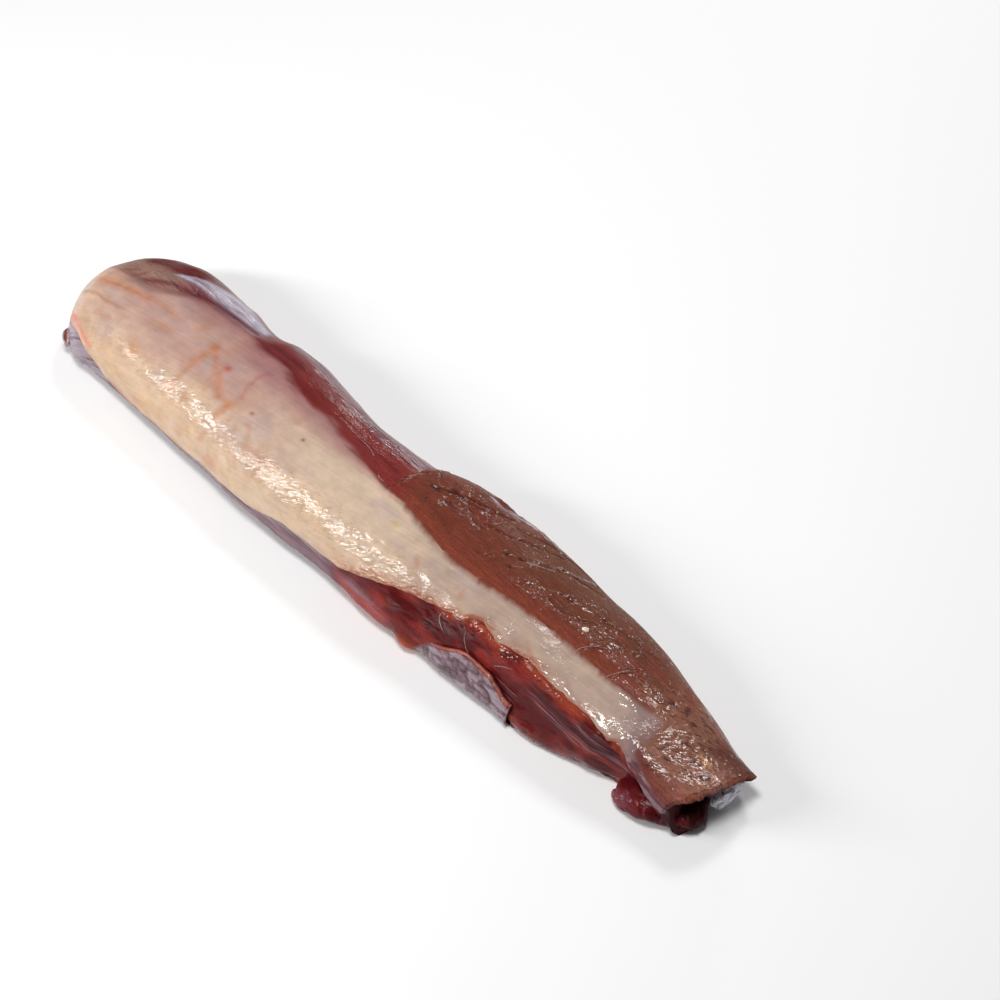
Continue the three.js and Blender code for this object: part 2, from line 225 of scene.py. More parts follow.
# Pink rim of the silverskin's lower edge, partly painted highlight on the folded edge.
RIM_PINK_AND_HIGHLIGHT = (0.60, 0.24, 0.15)
FAR_RIM_PINK = (0.58, 0.20, 0.15)
TORN_ORANGE = (0.33, 0.080, 0.030)
# Painted shade in the valleys of the silverskin's puckers.
PUCKER_VALLEY_SHADE = (0.40, 0.25, 0.16)
# The red muscle's and its low sides':
RED = (0.185, 0.026, 0.023)
DARK_RED = (0.085, 0.005, 0.006)
LEFT_RED = (0.25, 0.024, 0.019)
STRAND_BED = (0.17, 0.045, 0.055)
# Painted shade in the gaps between strands, then pale strands whose colour is partly painted sheen.
STRAND_GAP_SHADE = (0.05, 0.010, 0.016)
STRAND_PALE_AND_SHEEN = (0.36, 0.24, 0.27)
PATCH_RED = (0.10, 0.012, 0.02)
GLOW_RED = (0.30, 0.055, 0.024)
EDGE_RED = (0.34, 0.05, 0.045)
BULGE_RED = (0.17, 0.012, 0.008)
RIM_ORANGE = (0.34, 0.065, 0.022)
TIP_ORANGE = (0.52, 0.09, 0.035)
# Painted shade of the furrow on the dark side.
FURROW_SHADE = (0.03, 0.003, 0.005)
# Painted shade in the hollows of the muscle's puckers.
PUCKER_HOLLOW_SHADE = (0.03, 0.006, 0.006)
END_DARK = (0.035, 0.003, 0.004)
SIDE_FILM = (0.24, 0.13, 0.155)
LOW_FILM = (0.19, 0.10, 0.125)
LOW_FILM_PALE = (0.30, 0.24, 0.28)
LOW_FILM_DARK = (0.08, 0.022, 0.032)
WHITE_MEMBRANE = (0.50, 0.45, 0.52)
# The far shoulder's:
TAUPE = (0.25, 0.145, 0.11)
SHOULDER_RED = (0.21, 0.075, 0.07)
SHOULDER_DARK = (0.11, 0.010, 0.010)
SHOULDER_FILM = (0.30, 0.24, 0.30)
SHOULDER_FIBRES = (0.25, 0.08, 0.08)
# Painted shade along the far shoulder's creases.
CREASE_SHADE = (0.12, 0.025, 0.032)
FAR_EDGE_RED = (0.20, 0.07, 0.06)
NICK_RED = (0.20, 0.05, 0.035)
# The brown muscle's and its slab's:
BROWN = (0.150, 0.036, 0.021)
BROWN_DARK = (0.105, 0.020, 0.014)
BROWN_RED = (0.205, 0.046, 0.027)
BROWN_MIDDLE = (0.135, 0.046, 0.025)
# Olive brown, partly painted sheen.
OLIVE_AND_SHEEN = (0.205, 0.092, 0.063)
NEAR_OLIVE = (0.230, 0.096, 0.062)
NEAR_DARK = (0.135, 0.048, 0.034)
NEAR_RED = (0.19, 0.050, 0.036)
FOLD_BROWN = (0.115, 0.030, 0.024)
BAND_GREY = (0.27, 0.18, 0.205)
BAND_DARK = (0.11, 0.030, 0.036)
# Dark flesh and painted shade below the slab's left fold.
LIP_DARK_AND_SHADE = (0.07, 0.010, 0.012)
LIP_RED = (0.17, 0.045, 0.036)
# Painted sheen of the glints on the puckers near the cut end.
PUCKER_SHEEN = (0.28, 0.13, 0.095)
CUT_EDGE = (0.32, 0.085, 0.045)
CUT_EDGE_PINK = (0.36, 0.13, 0.11)
FAT_YELLOW = (0.50, 0.26, 0.13)
SIDE_STREAKS = (0.30, 0.20, 0.21)
# Painted shade in the brown muscle's grooves, then in its pits.
GROOVE_SHADE = (0.030, 0.005, 0.004)
PIT_SHADE = (0.035, 0.006, 0.005)
# Painted glints along the brown muscle's front ridge.
RIDGE_GLINTS = (0.42, 0.22, 0.16)
OUTLINE_FILM = (0.52, 0.45, 0.50)
UNDERSIDE_DARK = (0.07, 0.012, 0.012)
# The cut faces':
TORN_DARK = (0.045, 0.004, 0.006)
# Painted shade in the pocket of the near cut face.
POCKET_SHADE = (0.016, 0.003, 0.004)
POCKET_FILM = (0.16, 0.12, 0.16)
POCKET_FILM_PALE = (0.66, 0.63, 0.75)
SLAB_RIM = (0.34, 0.15, 0.14)
BUNDLE_RIM = (0.30, 0.09, 0.08)
# The flap's:
FLAP_PURPLE = (0.165, 0.085, 0.105)
# Painted highlight on the flap's wrinkle ridges, then painted shade in their valleys.
FLAP_RIDGE_HIGHLIGHT = (0.34, 0.26, 0.31)
FLAP_VALLEY_SHADE = (0.035, 0.012, 0.018)
FLAP_FOOT_RED = (0.20, 0.045, 0.05)
FLAP_RIM = (0.22, 0.055, 0.04)
FLAP_RIM_GLOW = (0.20, 0.05, 0.03)
# The lumps', tags' and threads':
LOBE_RED = (0.066, 0.002, 0.004)
LOBE_BRIGHT = (0.115, 0.008, 0.010)
LOBE_VEIN = (0.26, 0.11, 0.13)
LOBE_LEFT = (0.18, 0.038, 0.05)
ROSY = (0.13, 0.018, 0.026)
ROSY_PALE = (0.26, 0.08, 0.10)
END_RED = (0.11, 0.010, 0.013)
END_FOOT = (0.08, 0.006, 0.008)
END_FLECKS = (0.40, 0.24, 0.27)
TAG_RED = (0.19, 0.050, 0.040)
TAG_FILM = (0.42, 0.36, 0.38)
# Bluish white film, made lighter with painted light.
PALE_FILM_AND_LIGHT = (0.80, 0.77, 0.86)
PALE_FILM_DARK = (0.16, 0.08, 0.11)
GREY_FILM = (0.25, 0.19, 0.225)
GREY_FILM_DARK = (0.12, 0.03, 0.035)
FAT = (0.78, 0.66, 0.52)
THREAD_PALE = (0.55, 0.42, 0.38)

# Streaks on the silverskin, as their colour, strength, width and line.
SKIN_STREAKS = [
    (ORANGE, 0.65, 4.2, [(-211, 2), (-201, 3), (-191, 5.4), (-179, 7)]),
    (ORANGE, 0.4, 6.0, [(-190, 6), (-172, 8), (-156, 9)]),
    (STREAK_BROWN, 0.6, 1.8, [(-215, -6.4), (-204, -6.2), (-194, -7), (-183, -6.5)]),
    (FAR_RIM_PINK, 0.8, 3.0, [(-219, -18), (-208, -24), (-196, -30)]),
    (ORANGE, 0.4, 4.0, [(-129.5, 2), (-129, -6), (-129.5, -12), (-132.4, -24)]),
    (ORANGE, 0.65, 4.6, [(-129.5, 8.3), (-122, 3), (-113, -3.6), (-106, -10)]),
    (ORANGE, 0.4, 5.5, [(-129.5, 8.3), (-129.5, 2), (-130.3, -3.5)]),
    (ORANGE, 0.6, 4.2, [(-98.3, -10), (-99, -16.3), (-100.4, -22.6)]),
    (ORANGE, 0.3, 3.0, [(-106, -10), (-98.3, -10)]),
    (VEIN_RED, 0.55, 2.6, [(-99.7, 15), (-100.4, 9), (-99.7, 3.8), (-96, -3.3)]),
    (ORANGE, 0.3, 3.0, [(-82, -12), (-74, -20), (-62, -26)]),
    (ORANGE, 0.5, 3.0, [(-173, -44), (-150, -46.5), (-112, -47)]),
    (ORANGE, 0.45, 3.5, [(-99.7, -26), (-101, -32)]),
    (ORANGE, 0.35, 2.4, [(30, -6), (34, -11)]),
    (ORANGE, 0.35, 2.0, [(58, -4), (60, -9)]),
    (ORANGE, 0.3, 2.0, [(98, -3), (104, -6)]),
]
# Spots on the silverskin, as their colour, strength, place and half sizes.
SKIN_SPOTS = [
    (ORANGE, 0.5, (-161.5, -18), 4, 3),
    (ORANGE, 0.6, (-90, -40), 5, 3),
    (ORANGE, 0.6, (-116.5, -38), 2.6, 3.5),
    (ORANGE, 0.5, (-131.5, -39), 4, 3),
    (ORANGE, 0.45, (-146, -41), 7, 3),
    (ORANGE, 0.4, (-65, -30), 3, 4),
    (ORANGE, 0.3, (-64, -20), 8, 4),
    (ORANGE, 0.35, (-2, -33), 9, 4),
    (ORANGE, 0.3, (-123, 10), 6, 5),
    (BLOOD_SPOT, 0.9, (-114.6, 3.8), 2.2, 1.8),
    (YELLOW_SPOT, 0.6, (9.8, -1.9), 2.0, 1.6),
    (DARK_SPECK, 0.9, (-56.3, 0), 0.9, 0.8),
    (BROWN_SPECK, 0.8, (-85.5, -6.3), 1.3, 0.9),
    (CREAM_WARM, 0.6, (-150, -33), 40, 10),
    (CREAM_WARM, 0.55, (-40, -34), 40, 12),
    (ORANGE, 0.35, (-208, 4), 9, 8),
    (MAUVE, 0.6, (-104, 18), 14, 6),
]

# Rows and columns of each mesh.
MUSCLE_ROWS = 420
LEFT_COLUMNS, RIGHT_COLUMNS = 92, 112
CAP_RINGS = 26
SKIN_ROWS, SKIN_COLUMNS = 470, 102
BROWN_ROWS, BROWN_COLUMNS = 330, 132
FLAP_ROWS, FLAP_COLUMNS = 110, 56
LUMP_DETAIL = 5
THREAD_POINTS, THREAD_SIDES = 40, 6

# Cut faces: how much finer their grain is than the loin's, what sets each one's grain apart, and how
# puckered and wet they are.
CAP_GRAIN = 3
FAR_CAP_GRAIN, NEAR_CAP_GRAIN = 50.0, 90.0
CAP_CRUMPLE, FAR_CAP_WET, NEAR_CAP_WET = 0.7, 0.7, 0.21

# Depth in metres of the bump in each material.
MUSCLE_BUMP, SKIN_BUMP, MEMBRANE_BUMP = 0.0005, 0.0006, 0.0007

# Lumps and tags, as their name, centre, half sizes, turn about Z, roughness and kind.
LUMPS = [
    ("red_lobe", (178, -18.6, 6.4), (15.5, 11, 6.9), 0.12, 0.7, "lobe"),
    ("lobe_tip", (171.6, -24.6, 3.6), (9.0, 4.6, 4.2), -0.05, 1.2, "rosy"),
    ("red_lobe_low", (187.5, -15.3, 5.6), (13, 9.0, 5.5), 0.25, 0.7, "lobe"),
    ("dark_end", (195.5, -9.5, 5.8), (11.5, 12.8, 7.2), 0.0, 2.0, "dark"),
    ("end_film", (200.6, 10, 8.0), (5.4, 14.5, 6.4), 0.14, 2.2, "pale_film"),
    ("far_tag", (-207.4, -32.2, 9.6), (5.6, 4.0, 5.6), -0.5, 2.8, "tag"),
    ("far_tag_low", (-194, -31.4, 5.6), (16.0, 2.6, 4.4), -0.16, 1.0, "film"),
    ("fat_bit", (110.4, 10.5, 36.9), (2.1, 1.4, 1.0), 0.4, 2.5, "fat"),
]

# Fine pale threads, as their thickness and their places (x, t, rise).
THREADS = [
    (0.18, [(56.8, -18.5, 0.4), (56.0, -21.5, 0.7), (57.6, -24.5, 0.6), (60.3, -28, 0.1)]),
    (0.12, [(71, -18, 0.2), (72, -21.8, 0.9), (75.3, -26.4, 0.7), (80.4, -27.8, 0.6), (87, -29, 0.1)]),
    (0.12, [(90.2, -23.5, 0.4), (94.5, -19.8, 1.2), (100, -17, 0.5)]),
    (0.13, [(115, 8, 0.1), (116, 12, 0.5), (119.4, 16.3, 0.4), (124.3, 21, -0.1)]),
    (0.13, [(132.5, 9, 0.1), (135.7, 13.9, 0.5), (138.5, 18, 0.4), (140.7, 22.7, -0.1)]),
]


# Numbers

def step(a, b, value):
    """Smooth step from 0 at a to 1 at b, where b may be the lower of the two."""
    w = np.clip((value - a) / (b - a), 0, 1)
    return w * w * (3 - 2 * w)


def bump(value, at, reach):
    """Round bump of height 1 at a place, gone at its reach to either side."""
    q = np.clip(1 - ((value - at) / reach) ** 2, 0, 1)
    return q * q


def stations(values, u):
    """Curve through evenly spaced values, read at u from 0 to 1."""
    v = np.asarray(values, float)
    last = len(v) - 1
    p = np.clip(np.asarray(u, float), 0, 1) * last
    i = np.minimum(np.floor(p).astype(int), last - 1)
    w = p - i
    p1, p2 = v[i], v[i + 1]
    p0, p3 = v[np.maximum(i - 1, 0)], v[np.minimum(i + 2, last)]
    v0, v1 = (p2 - p0) / 2, (p3 - p1) / 2
    return (2 * p1 - 2 * p2 + v0 + v1) * w**3 + (3 * p2 - 3 * p1 - 2 * v0 - v1) * w**2 + v0 * w + p1


def along(points, x):
    """The arc t of a line of places (x, t) at stations x."""
    places = np.array(points, float)
    return np.interp(x, places[:, 0], places[:, 1])


def noise(x, y, seed):
    """Smooth noise from -1 to 1 whose cells have size 1."""
    table = np.random.default_rng(seed).uniform(-1, 1, (64, 64))
    i, j = np.floor(x).astype(int), np.floor(y).astype(int)
    a, b = x - i, y - j
    a, b = a * a * (3 - 2 * a), b * b * (3 - 2 * b)
    low = table[i % 64, j % 64] * (1 - a) + table[(i + 1) % 64, j % 64] * a
    high = table[i % 64, (j + 1) % 64] * (1 - a) + table[(i + 1) % 64, (j + 1) % 64] * a
    return low * (1 - b) + high * b


def fractal(x, y, seed, octaves=3):
    """Noise with finer noise on it, each layer half as strong as the one before. The seed is the number
    that picks its pattern."""
    total = 0
    for k in range(octaves):
        total = total + noise(x * 2**k + 7 * k, y * 2**k, seed + k) / 2**k
    return total / (2 - 2.0 ** (1 - octaves))


def line_distance(x, t, points):
    """Distance in millimetres to a line of places (x, t)."""
    nearest = np.full(np.broadcast(x, t).shape, 1e9)
    for (x0, t0), (x1, t1) in zip(points, points[1:]):
        dx, dt = x1 - x0, t1 - t0
        w = np.clip(((x - x0) * dx + (t - t0) * dt) / (dx * dx + dt * dt), 0, 1)
        nearest = np.minimum(nearest, np.hypot(x - x0 - w * dx, t - t0 - w * dt))
    return nearest


def stroke(x, t, points, width):
    """Soft line through places (x, t), 1 on its middle and gone at about its width."""
    return np.exp(-(line_distance(x, t, points) / (width / 2)) ** 2)


def spot(x, t, place, half_x, half_t):
    """Soft round spot, 1 at its place."""
    return np.exp(-((x - place[0]) / half_x) ** 2 - ((t - place[1]) / half_t) ** 2)


def strokes(x, t, all_points, width):
    """The strongest of several soft lines."""
    return np.maximum.reduce([stroke(x, t, points, width) for points in all_points])


def spots(x, t, places):
    """The strongest of several soft spots."""
    return np.maximum.reduce([spot(x, t, place, half_x, half_t) for place, half_x, half_t in places])


# Form of the loin

def section(x, angle):
    """Bare section: y and z at stations x (a column) and angles (a row), -pi to pi from the crest."""
    u = (x - FAR_X) / (NEAR_X - FAR_X)
    left = stations(LEFT_REACH, u) + CREST_Y
    right = stations(RIGHT_REACH, u) - CREST_Y
    crest = stations(CREST_HEIGHT, u)
    belly = np.where(angle < 0, stations(LEFT_BELLY, u), stations(RIGHT_BELLY, u))
    on_top = np.cos(angle) >= 0
    exponent = 2 / np.where(on_top, np.where(angle < 0, TOP_LEFT_POWER, TOP_RIGHT_POWER), BOTTOM_POWER)
    sine, cosine = np.sin(angle), np.cos(angle)
    across = np.sign(sine) * np.abs(sine) ** exponent * np.where(angle < 0, left, right)
    up = np.sign(cosine) * np.abs(cosine) ** exponent
    roll = np.clip(1 - (x - FAR_X) / FAR_ROLL, 0, 1)
    shrink = np.sqrt(1 - 0.9 * roll * roll)
    width = FAR_WIDTH_KEPT + (1 - FAR_WIDTH_KEPT) * shrink
    height = FAR_HEIGHT_KEPT + (1 - FAR_HEIGHT_KEPT) * shrink
    y = FAR_BOW_Y + (CREST_Y + across - FAR_BOW_Y) * width
    z = (belly + up * np.where(on_top, crest - belly, belly)) * height
    return y, np.maximum(z - FLAT_DEPTH, 0)


def section_table(rows=640, columns=481, fine=721):
    """Sections as tables over x and over s, which runs from -1 to 1 in even arcs either side of the
    crest, with the arcs to the left and right end and to the widest place on the right."""
    x = np.linspace(FAR_X, NEAR_X, rows)
    y, z = section(x[:, None], np.linspace(-np.pi, np.pi, fine)[None, :])
    arc = np.concatenate([np.zeros((rows, 1)), np.cumsum(np.hypot(np.diff(y), np.diff(z)), 1)], 1)
    arc -= arc[:, fine // 2][:, None]
    s = np.linspace(-1, 1, columns)
    want = np.where(s < 0, -s * arc[:, :1], s * arc[:, -1:])
    even_y = np.array([np.interp(want[i], arc[i], y[i]) for i in range(rows)])
    even_z = np.array([np.interp(want[i], arc[i], z[i]) for i in range(rows)])
    return x, even_y, even_z, -arc[:, 0], arc[:, -1], arc[:, fine * 3 // 4]


TABLE_X, TABLE_Y, TABLE_Z, LEFT_ARC, RIGHT_ARC, WIDEST_ARC = section_table()


def left_arc(x):
    """Arc from the crest round the left side to the bottom, at stations x."""
    return np.interp(x, TABLE_X, LEFT_ARC)


def right_arc(x):
    """Arc from the crest round the right side to the bottom, at stations x."""
    return np.interp(x, TABLE_X, RIGHT_ARC)


def widest_arc(x):
    """Arc from the crest to the widest place on the right, at stations x."""
    return np.interp(x, TABLE_X, WIDEST_ARC)


def read_table(table, x, s):
    """Table value at stations x and even arcs s, between the table's points."""
    rows, columns = table.shape
    u = np.clip((x - FAR_X) / (NEAR_X - FAR_X), 0, 1) * (rows - 1)
    v = np.clip((s + 1) / 2, 0, 1) * (columns - 1)
    i, j = np.minimum(u.astype(int), rows - 2), np.minimum(v.astype(int), columns - 2)
    a, b = u - i, v - j
    low = table[i, j] * (1 - a) + table[i + 1, j] * a
    high = table[i, j + 1] * (1 - a) + table[i + 1, j + 1] * a
    return low * (1 - b) + high * b


def end_offset(x, y, z):
    """How far a point moves along the loin for the bowed far end and the slanting near end."""
    bow = FAR_BOW * (y - FAR_BOW_Y) ** 2 * bump(x, FAR_X, END_REACH)
    near = bump(x, NEAR_X, END_REACH)
    slant = NEAR_SLANT * y * near
    undercut = NEAR_UNDERCUT * np.maximum(NEAR_SLAB_BOTTOM - z, 0) * near * step(-7, 5, y)
    lean = NEAR_LEAN * z * near * step(2, -14, y)
    corner = NEAR_CORNER_TRIM * near * step(6, 20, y)
    return bow + slant - undercut - lean - corner


def surface(x, t, rise):
    """Places in metres at stations x and arcs t, raised from the bare section along its normal."""
    x, t = np.broadcast_arrays(np.asarray(x, float), np.asarray(t, float))
    s = np.where(t < 0, t / left_arc(x), t / right_arc(x))
    y, z = read_table(TABLE_Y, x, s), read_table(TABLE_Z, x, s)
    nudge = 0.006
    dy = read_table(TABLE_Y, x, s + nudge) - read_table(TABLE_Y, x, s - nudge)
    dz = read_table(TABLE_Z, x, s + nudge) - read_table(TABLE_Z, x, s - nudge)
    length = np.hypot(dy, dz) + 1e-9
    out_y = y - dz / length * rise
    out_z = np.where(z > 0, np.maximum(z + dy / length * rise, 0), 0)
    out_x = x + end_offset(x, out_y, out_z)
    return np.stack([out_x + SHIFT_X, out_y + SHIFT_Y, out_z], -1) * MM


# Edges of the regions

def ragged(x, t, size=1.3):
    """Uneven wander of an edge."""
    return size * fractal(x / 7, t / 9, 11)


def skin_upper(x):
    """Upper edge of the silverskin."""
    return along(SKIN_UPPER_EDGE, x) + ragged(x, 0 * x)


def skin_lower(x):
    """Lower edge of the silverskin, with small scallops along the strip."""
    scallops = 1.1 * np.abs(fractal(x / 9, 0 * x, 13)) * step(-10, 20, x)
    return along(SKIN_LOWER_EDGE, x) + 0.8 * ragged(x, 0 * x + 40) + scallops


def upper_fade(x):
    """How widely, in millimetres, the silverskin turns mauve towards its upper edge."""
    return 3 + 8.5 * step(-185, -150, x) * step(-12, -45, x)


def edge_softness(x):
    """How widely, in millimetres, the silverskin's colour runs into the muscle's at its upper edge."""
    return 0.8 + 1.6 * step(-215, -195, x) * step(-12, -40, x)


def beside_brown(x):
    """1 where the silverskin meets the brown muscle, 0 where it thins out over the red one."""
    return step(-13, -8, x)


def brown_front(t):
    """Station of the brown muscle's front edge, which bows forwards in its middle."""
    return -9.8 + 0.005 * (t - 24) ** 2


def brown_left(x):
    """Left edge of the brown muscle."""
    return along(BROWN_LEFT_EDGE, x) + ragged(x, 0 * x)


def near_fold(x):
    """Arc at which the slab folds down at its left, near the cut end."""
    return -8 - 7 * step(176, 202, x)


def near_end(t):
    """Station of the slab's cut edge."""
    return BROWN_END_X + along(NEAR_OVERHANG, t)


def flap_rim(x):
    """Arc of the flap's upper rim at stations x."""
    return -27 - 9 * step(78, 56, x) - 9 * step(58, FLAP_FROM, x) - 7 * step(88, 106, x)


def shoulder_crease(x):
    """Arc of the crease under the small shoulder muscle."""
    return 13 + 18.5 * step(-186, -152, x)


# Relief, in millimetres above the bare section

def swells(x, t):
    """Slow uneven swells of the flesh."""
    long = np.sin(x / 17 + 0.8 * np.sin(t / 13)) * np.sin(t / 9 + x / 41 + 1.3)
    short = np.sin(x / 7.3 + t / 6.1) * np.sin(t / 5.2 - x / 23)
    return (0.45 * long + 0.25 * short) * step(74, 50, np.abs(t))


def shoulder(x, t):
    """Small shoulder muscle on the far right: a crease runs along it and it ends in a notch."""
    crease = shoulder_crease(x)
    reach = step(-208, -188, x) * step(-118, -134, x)
    groove = -0.9 * bump(t, crease + 2.5, 8)
    swell = 1.4 * step(crease, crease + 10, t) * step(70, 55, t)
    notch = -3.5 * bump(x, -129, 17) * step(28, 46, t) * step(78, 62, t)
    return reach * (groove + swell) + notch


def left_side(x, t):
    """Dark side under the strip on the left, with a small tip and a bulge."""
    hollow = -2.6 * step(8, 45, x) * step(168, 140, x) * bump(t, -27, 17)
    tip = 3 * bump(x, 42, 9) * bump(t, -50, 10)
    bulge = 3.4 * bump(x, 121, 27) * bump(t, -48, 20)
    corner = 1.2 * step(103.5, 106, x) * step(140, 112, x) * step(-36, -44, t) * step(-70, -58, t)
    return hollow + tip + bulge + corner


def near_lip(x, t):
    """The flesh draws in under the slab's left lip near the cut end."""
    edge = -11.5 - 12 * step(176, 203, x)
    reach = step(146, 166, x) * step(206, 190, x)
    return -4.5 * reach * step(edge, edge - 3.6, t) * step(-62, -44, t)


def silverskin_wrinkles(x, t):
    """Soft cross wrinkles over the left shoulder and shallow dents."""
    cross = fractal(x / 4.6 + t / 30, t / 15, 51)
    fine = fractal((x + 0.5 * t) / 2.4, (t - 0.5 * x) / 4.5, 52, 2)
    band = step(-6, -20, t) * step(-54, -42, t)
    dents = 0.5 * fractal(x / 24, t / 18, 53)
    covered = step(-16, -30, x) + step(-30, -16, x) * step(-40, -25, t) * step(14, 6, t)
    return covered * (0.26 * cross * band + 0.15 * fine * band + dents)


def red_strands(x, t):
    """Loose strands on the red muscle before the brown one."""
    strand = fractal(x / 24, t / 3.2 + x / 26, 61, 2)
    low = along(STRAND_EDGE, x)
    reach = step(-6, -14, x) * step(low - 2, low + 3, t) * step(84, 66, t)
    return 0.4 * strand * reach


def dark_side_folds(x, t):
    """Folds and grain of the flesh under the strip on the left."""
    reach = step(-18, 6, x) * step(-6, -14, t)
    folds = fractal(x / 13, t / 3.2 - x / 26, 71)
    grain = fractal(x / 5.0, t / 3.4, 72, 2)
    return reach * (0.55 * folds + 0.22 * grain)


def muscle_relief(x, t):
    """The muscle that lies under the silverskin and the brown muscle, and shows between them."""
    forms = shoulder(x, t) + left_side(x, t) + near_lip(x, t) + swells(x, t)
    detail = silverskin_wrinkles(x, t) + red_strands(x, t) + dark_side_folds(x, t)
    under_brown = along(BROWN_LEFT_EDGE, x) + 1
    sunk = -1.0 * step(-4, 4, x) * step(under_brown, under_brown + 5, t)
    lower, upper = along(SKIN_LOWER_EDGE, x), along(SKIN_UPPER_EDGE, x)
    sunk = sunk - SKIN_BED * step(lower + 2.5, lower + 4.5, t) * step(upper - 2.5, upper - 5, t)
    return forms + detail + sunk + 0.05 * fractal(x / 1.5, t / 1.5, 81, 2)


def brown_rise(x, t):
    """The brown muscle stands above the strip and bulges at its front."""
    edge = along(SKIN_UPPER_EDGE, x)
    rise = 2.4 * step(193, 163, x) * step(edge - 1, edge + 8, t) * step(-13, 12, x)
    bulge = 1.2 * step(-13, 0, x) * step(34, 6, x) * step(28, 44, t)
    fold = -1.4 * bump(x, 38, 14) * step(36, 50, t)
    return (rise + bulge + fold) * step(78, 60, t)


def groove_wander(x, t):
    """How far the grooves wander off their lines, along the loin and across it."""
    return 0.9 * fractal(x / 5, t / 5, 31), 0.9 * fractal(x / 5, t / 5, 32)


def brown_grooves(x, t):
    """Grooves with raised edges, fine creases, pits, the loose film and the ridge at the front."""
    wander_x, wander_t = groove_wander(x, t)
    cut = 0
    for depth, width, line in BROWN_GROOVES:
        distance = line_distance(x + wander_x, t + wander_t, line)
        cut = cut - depth * np.exp(-((distance / width) ** 2))
        cut = cut + 0.16 * depth * np.exp(-(((distance - 2.0) / 1.1) ** 2))
    for line in BROWN_CREASES:
        cut = cut + 0.4 * np.exp(-((line_distance(x + wander_x, t + wander_t, line) / 0.8) ** 2))
    ridge = 0.5 * bump(x - brown_front(t), 1.8, 2.4) * step(14, 20, t)
    pits = 0
    for place in BROWN_PITS:
        pits = pits - 0.6 * spot(x + wander_x, t + wander_t, place, 2.2, 1.2)
    film = step(18, 26, x) * step(66, 58, x) * step(44, 48, t) * step(56, 52, t)
    loose = film * (0.5 + 0.9 * fractal(x / 3.5, t / 2.2, 36, 2))
    return cut + ridge * (1 + 0.9 * fractal(t / 1.8, x / 4, 35, 2)) + pits + loose


def near_wrinkles(x, t):
    """Loose skin near the cut end, puckered in crooked rings."""
    bend = fractal(x / 9, t / 9, 41)
    first = np.hypot(x - 186, (t - 9) * 1.1) + 3.4 * bend
    second = np.hypot(x - 201, (t - 7) * 1.1) + 2.6 * bend
    reach = step(164, 178, x) * step(31, 24, t) * step(-20, -12, t)
    patches = 0.4 + 0.6 * step(-0.35, 0.25, fractal(x / 8, t / 8, 43))
    rings = np.sin(np.minimum(first, second) * 2.2)
    cross = fractal((x + 0.6 * t) / 2.0, (t - 0.6 * x) / 4.5, 44, 2)
    return reach * patches * (0.14 * rings + 0.32 * cross)


def brown_relief(x, t):
    """The brown muscle's own skin: fibre bundles, dimples and puckers."""
    bundles = 0.08 * fractal(x / 16, t / 2.4 + x / 40, 33) * step(14, 26, t)
    dimples = 0.06 * fractal(x / 3.2, t / 2.0, 34, 2)
    forms = left_side(x, t) + swells(x, t) + brown_rise(x, t)
    return forms + brown_grooves(x, t) * step(80, 64, t) + bundles + dimples + near_wrinkles(x, t)


def brown_top(x, t):
    """Height of the brown muscle before its edges are rounded."""
    return brown_relief(x, t) + 0.25 * step(6, 0, t - brown_left(x))


def brown_step(x, t):
    """How much higher the brown muscle stands than the muscle under it."""
    over = step(0, 2, t - brown_left(x)) * step(-8, -4, x)
    return over * (brown_top(x, t) - muscle_relief(x, t))


def flap_wrinkles(x, t):
    """Broad wrinkles of the flap, from 0 in their valleys, and fine ones."""
    return np.abs(fractal(x / 7, t / 3.4, 171)), fractal(x / 1.8 + t / 9, t / 6, 176, 2)


# Colours over the loin

def filled(colour, x):
    """One colour at every place."""
    return np.broadcast_to(np.array(colour), x.shape + (3,)).copy()


def laid(under, colour, mask):
    """A colour laid over others where the mask is 1."""
    mask = np.clip(mask, 0, 1)[..., None]
    return under * (1 - mask) + np.array(colour) * mask


def layered(colour, *layers):
    """A colour under layers, each a colour and the mask where it is laid over the ones before it."""
    for tint, mask in layers:
        colour = laid(colour, tint, mask)
    return colour


def mixed(under, over, share):
    """Colours that pass into others as the share rises from 0 to 1."""
    share = share[..., None]
    return under * (1 - share) + over * share


def silverskin_ground(x, t, wide, small):
    """Cream connective tissue, pinker over the crest and greyer along the strip, where painted shade
    darkens its middle, with its stains.
    """
    pink = step(-212, -180, x) * step(-30, -105, x) * step(-24, -4, t + 7 * wide)
    stain = fractal((x + 0.3 * t) / 9, (t - 0.3 * x) / 15, 115, 4)
    blotch = step(0.25, 0.6, fractal(x / 11, t / 7, 104))
    yellow = step(0.1, 0.6, fractal(x / 16, t / 6, 105))
    return layered(
        filled(CREAM, x),
        (CREAM_FAR, step(-150, -200, x)),
        (CREAM_WARM, 0.5 * step(-4, -30, t) * step(0.1, 0.6, wide + 0.35)),
        (PINK, 0.95 * pink),
        # The strip's grey with painted shade on its middle.
        (STRIP_GREY_AND_SHADE, step(5, 65, x + 14 * wide) * (0.8 + 0.2 * small)),
        (STRIP_PALE, 0.8 * step(118, 145, x + 9 * wide)),
        (STAIN, 0.4 * step(0.1, 0.6, stain) * step(-60, -100, x)),
        (BLOTCH, 0.45 * blotch * step(-40, -90, x + 20 * wide)),
        (YELLOW_STAIN, 0.4 * yellow * step(-6, -22, t)),
        (GREY_STAIN, 0.35 * step(0.1, 0.5, fractal(x / 20, t / 10, 106))),
    )


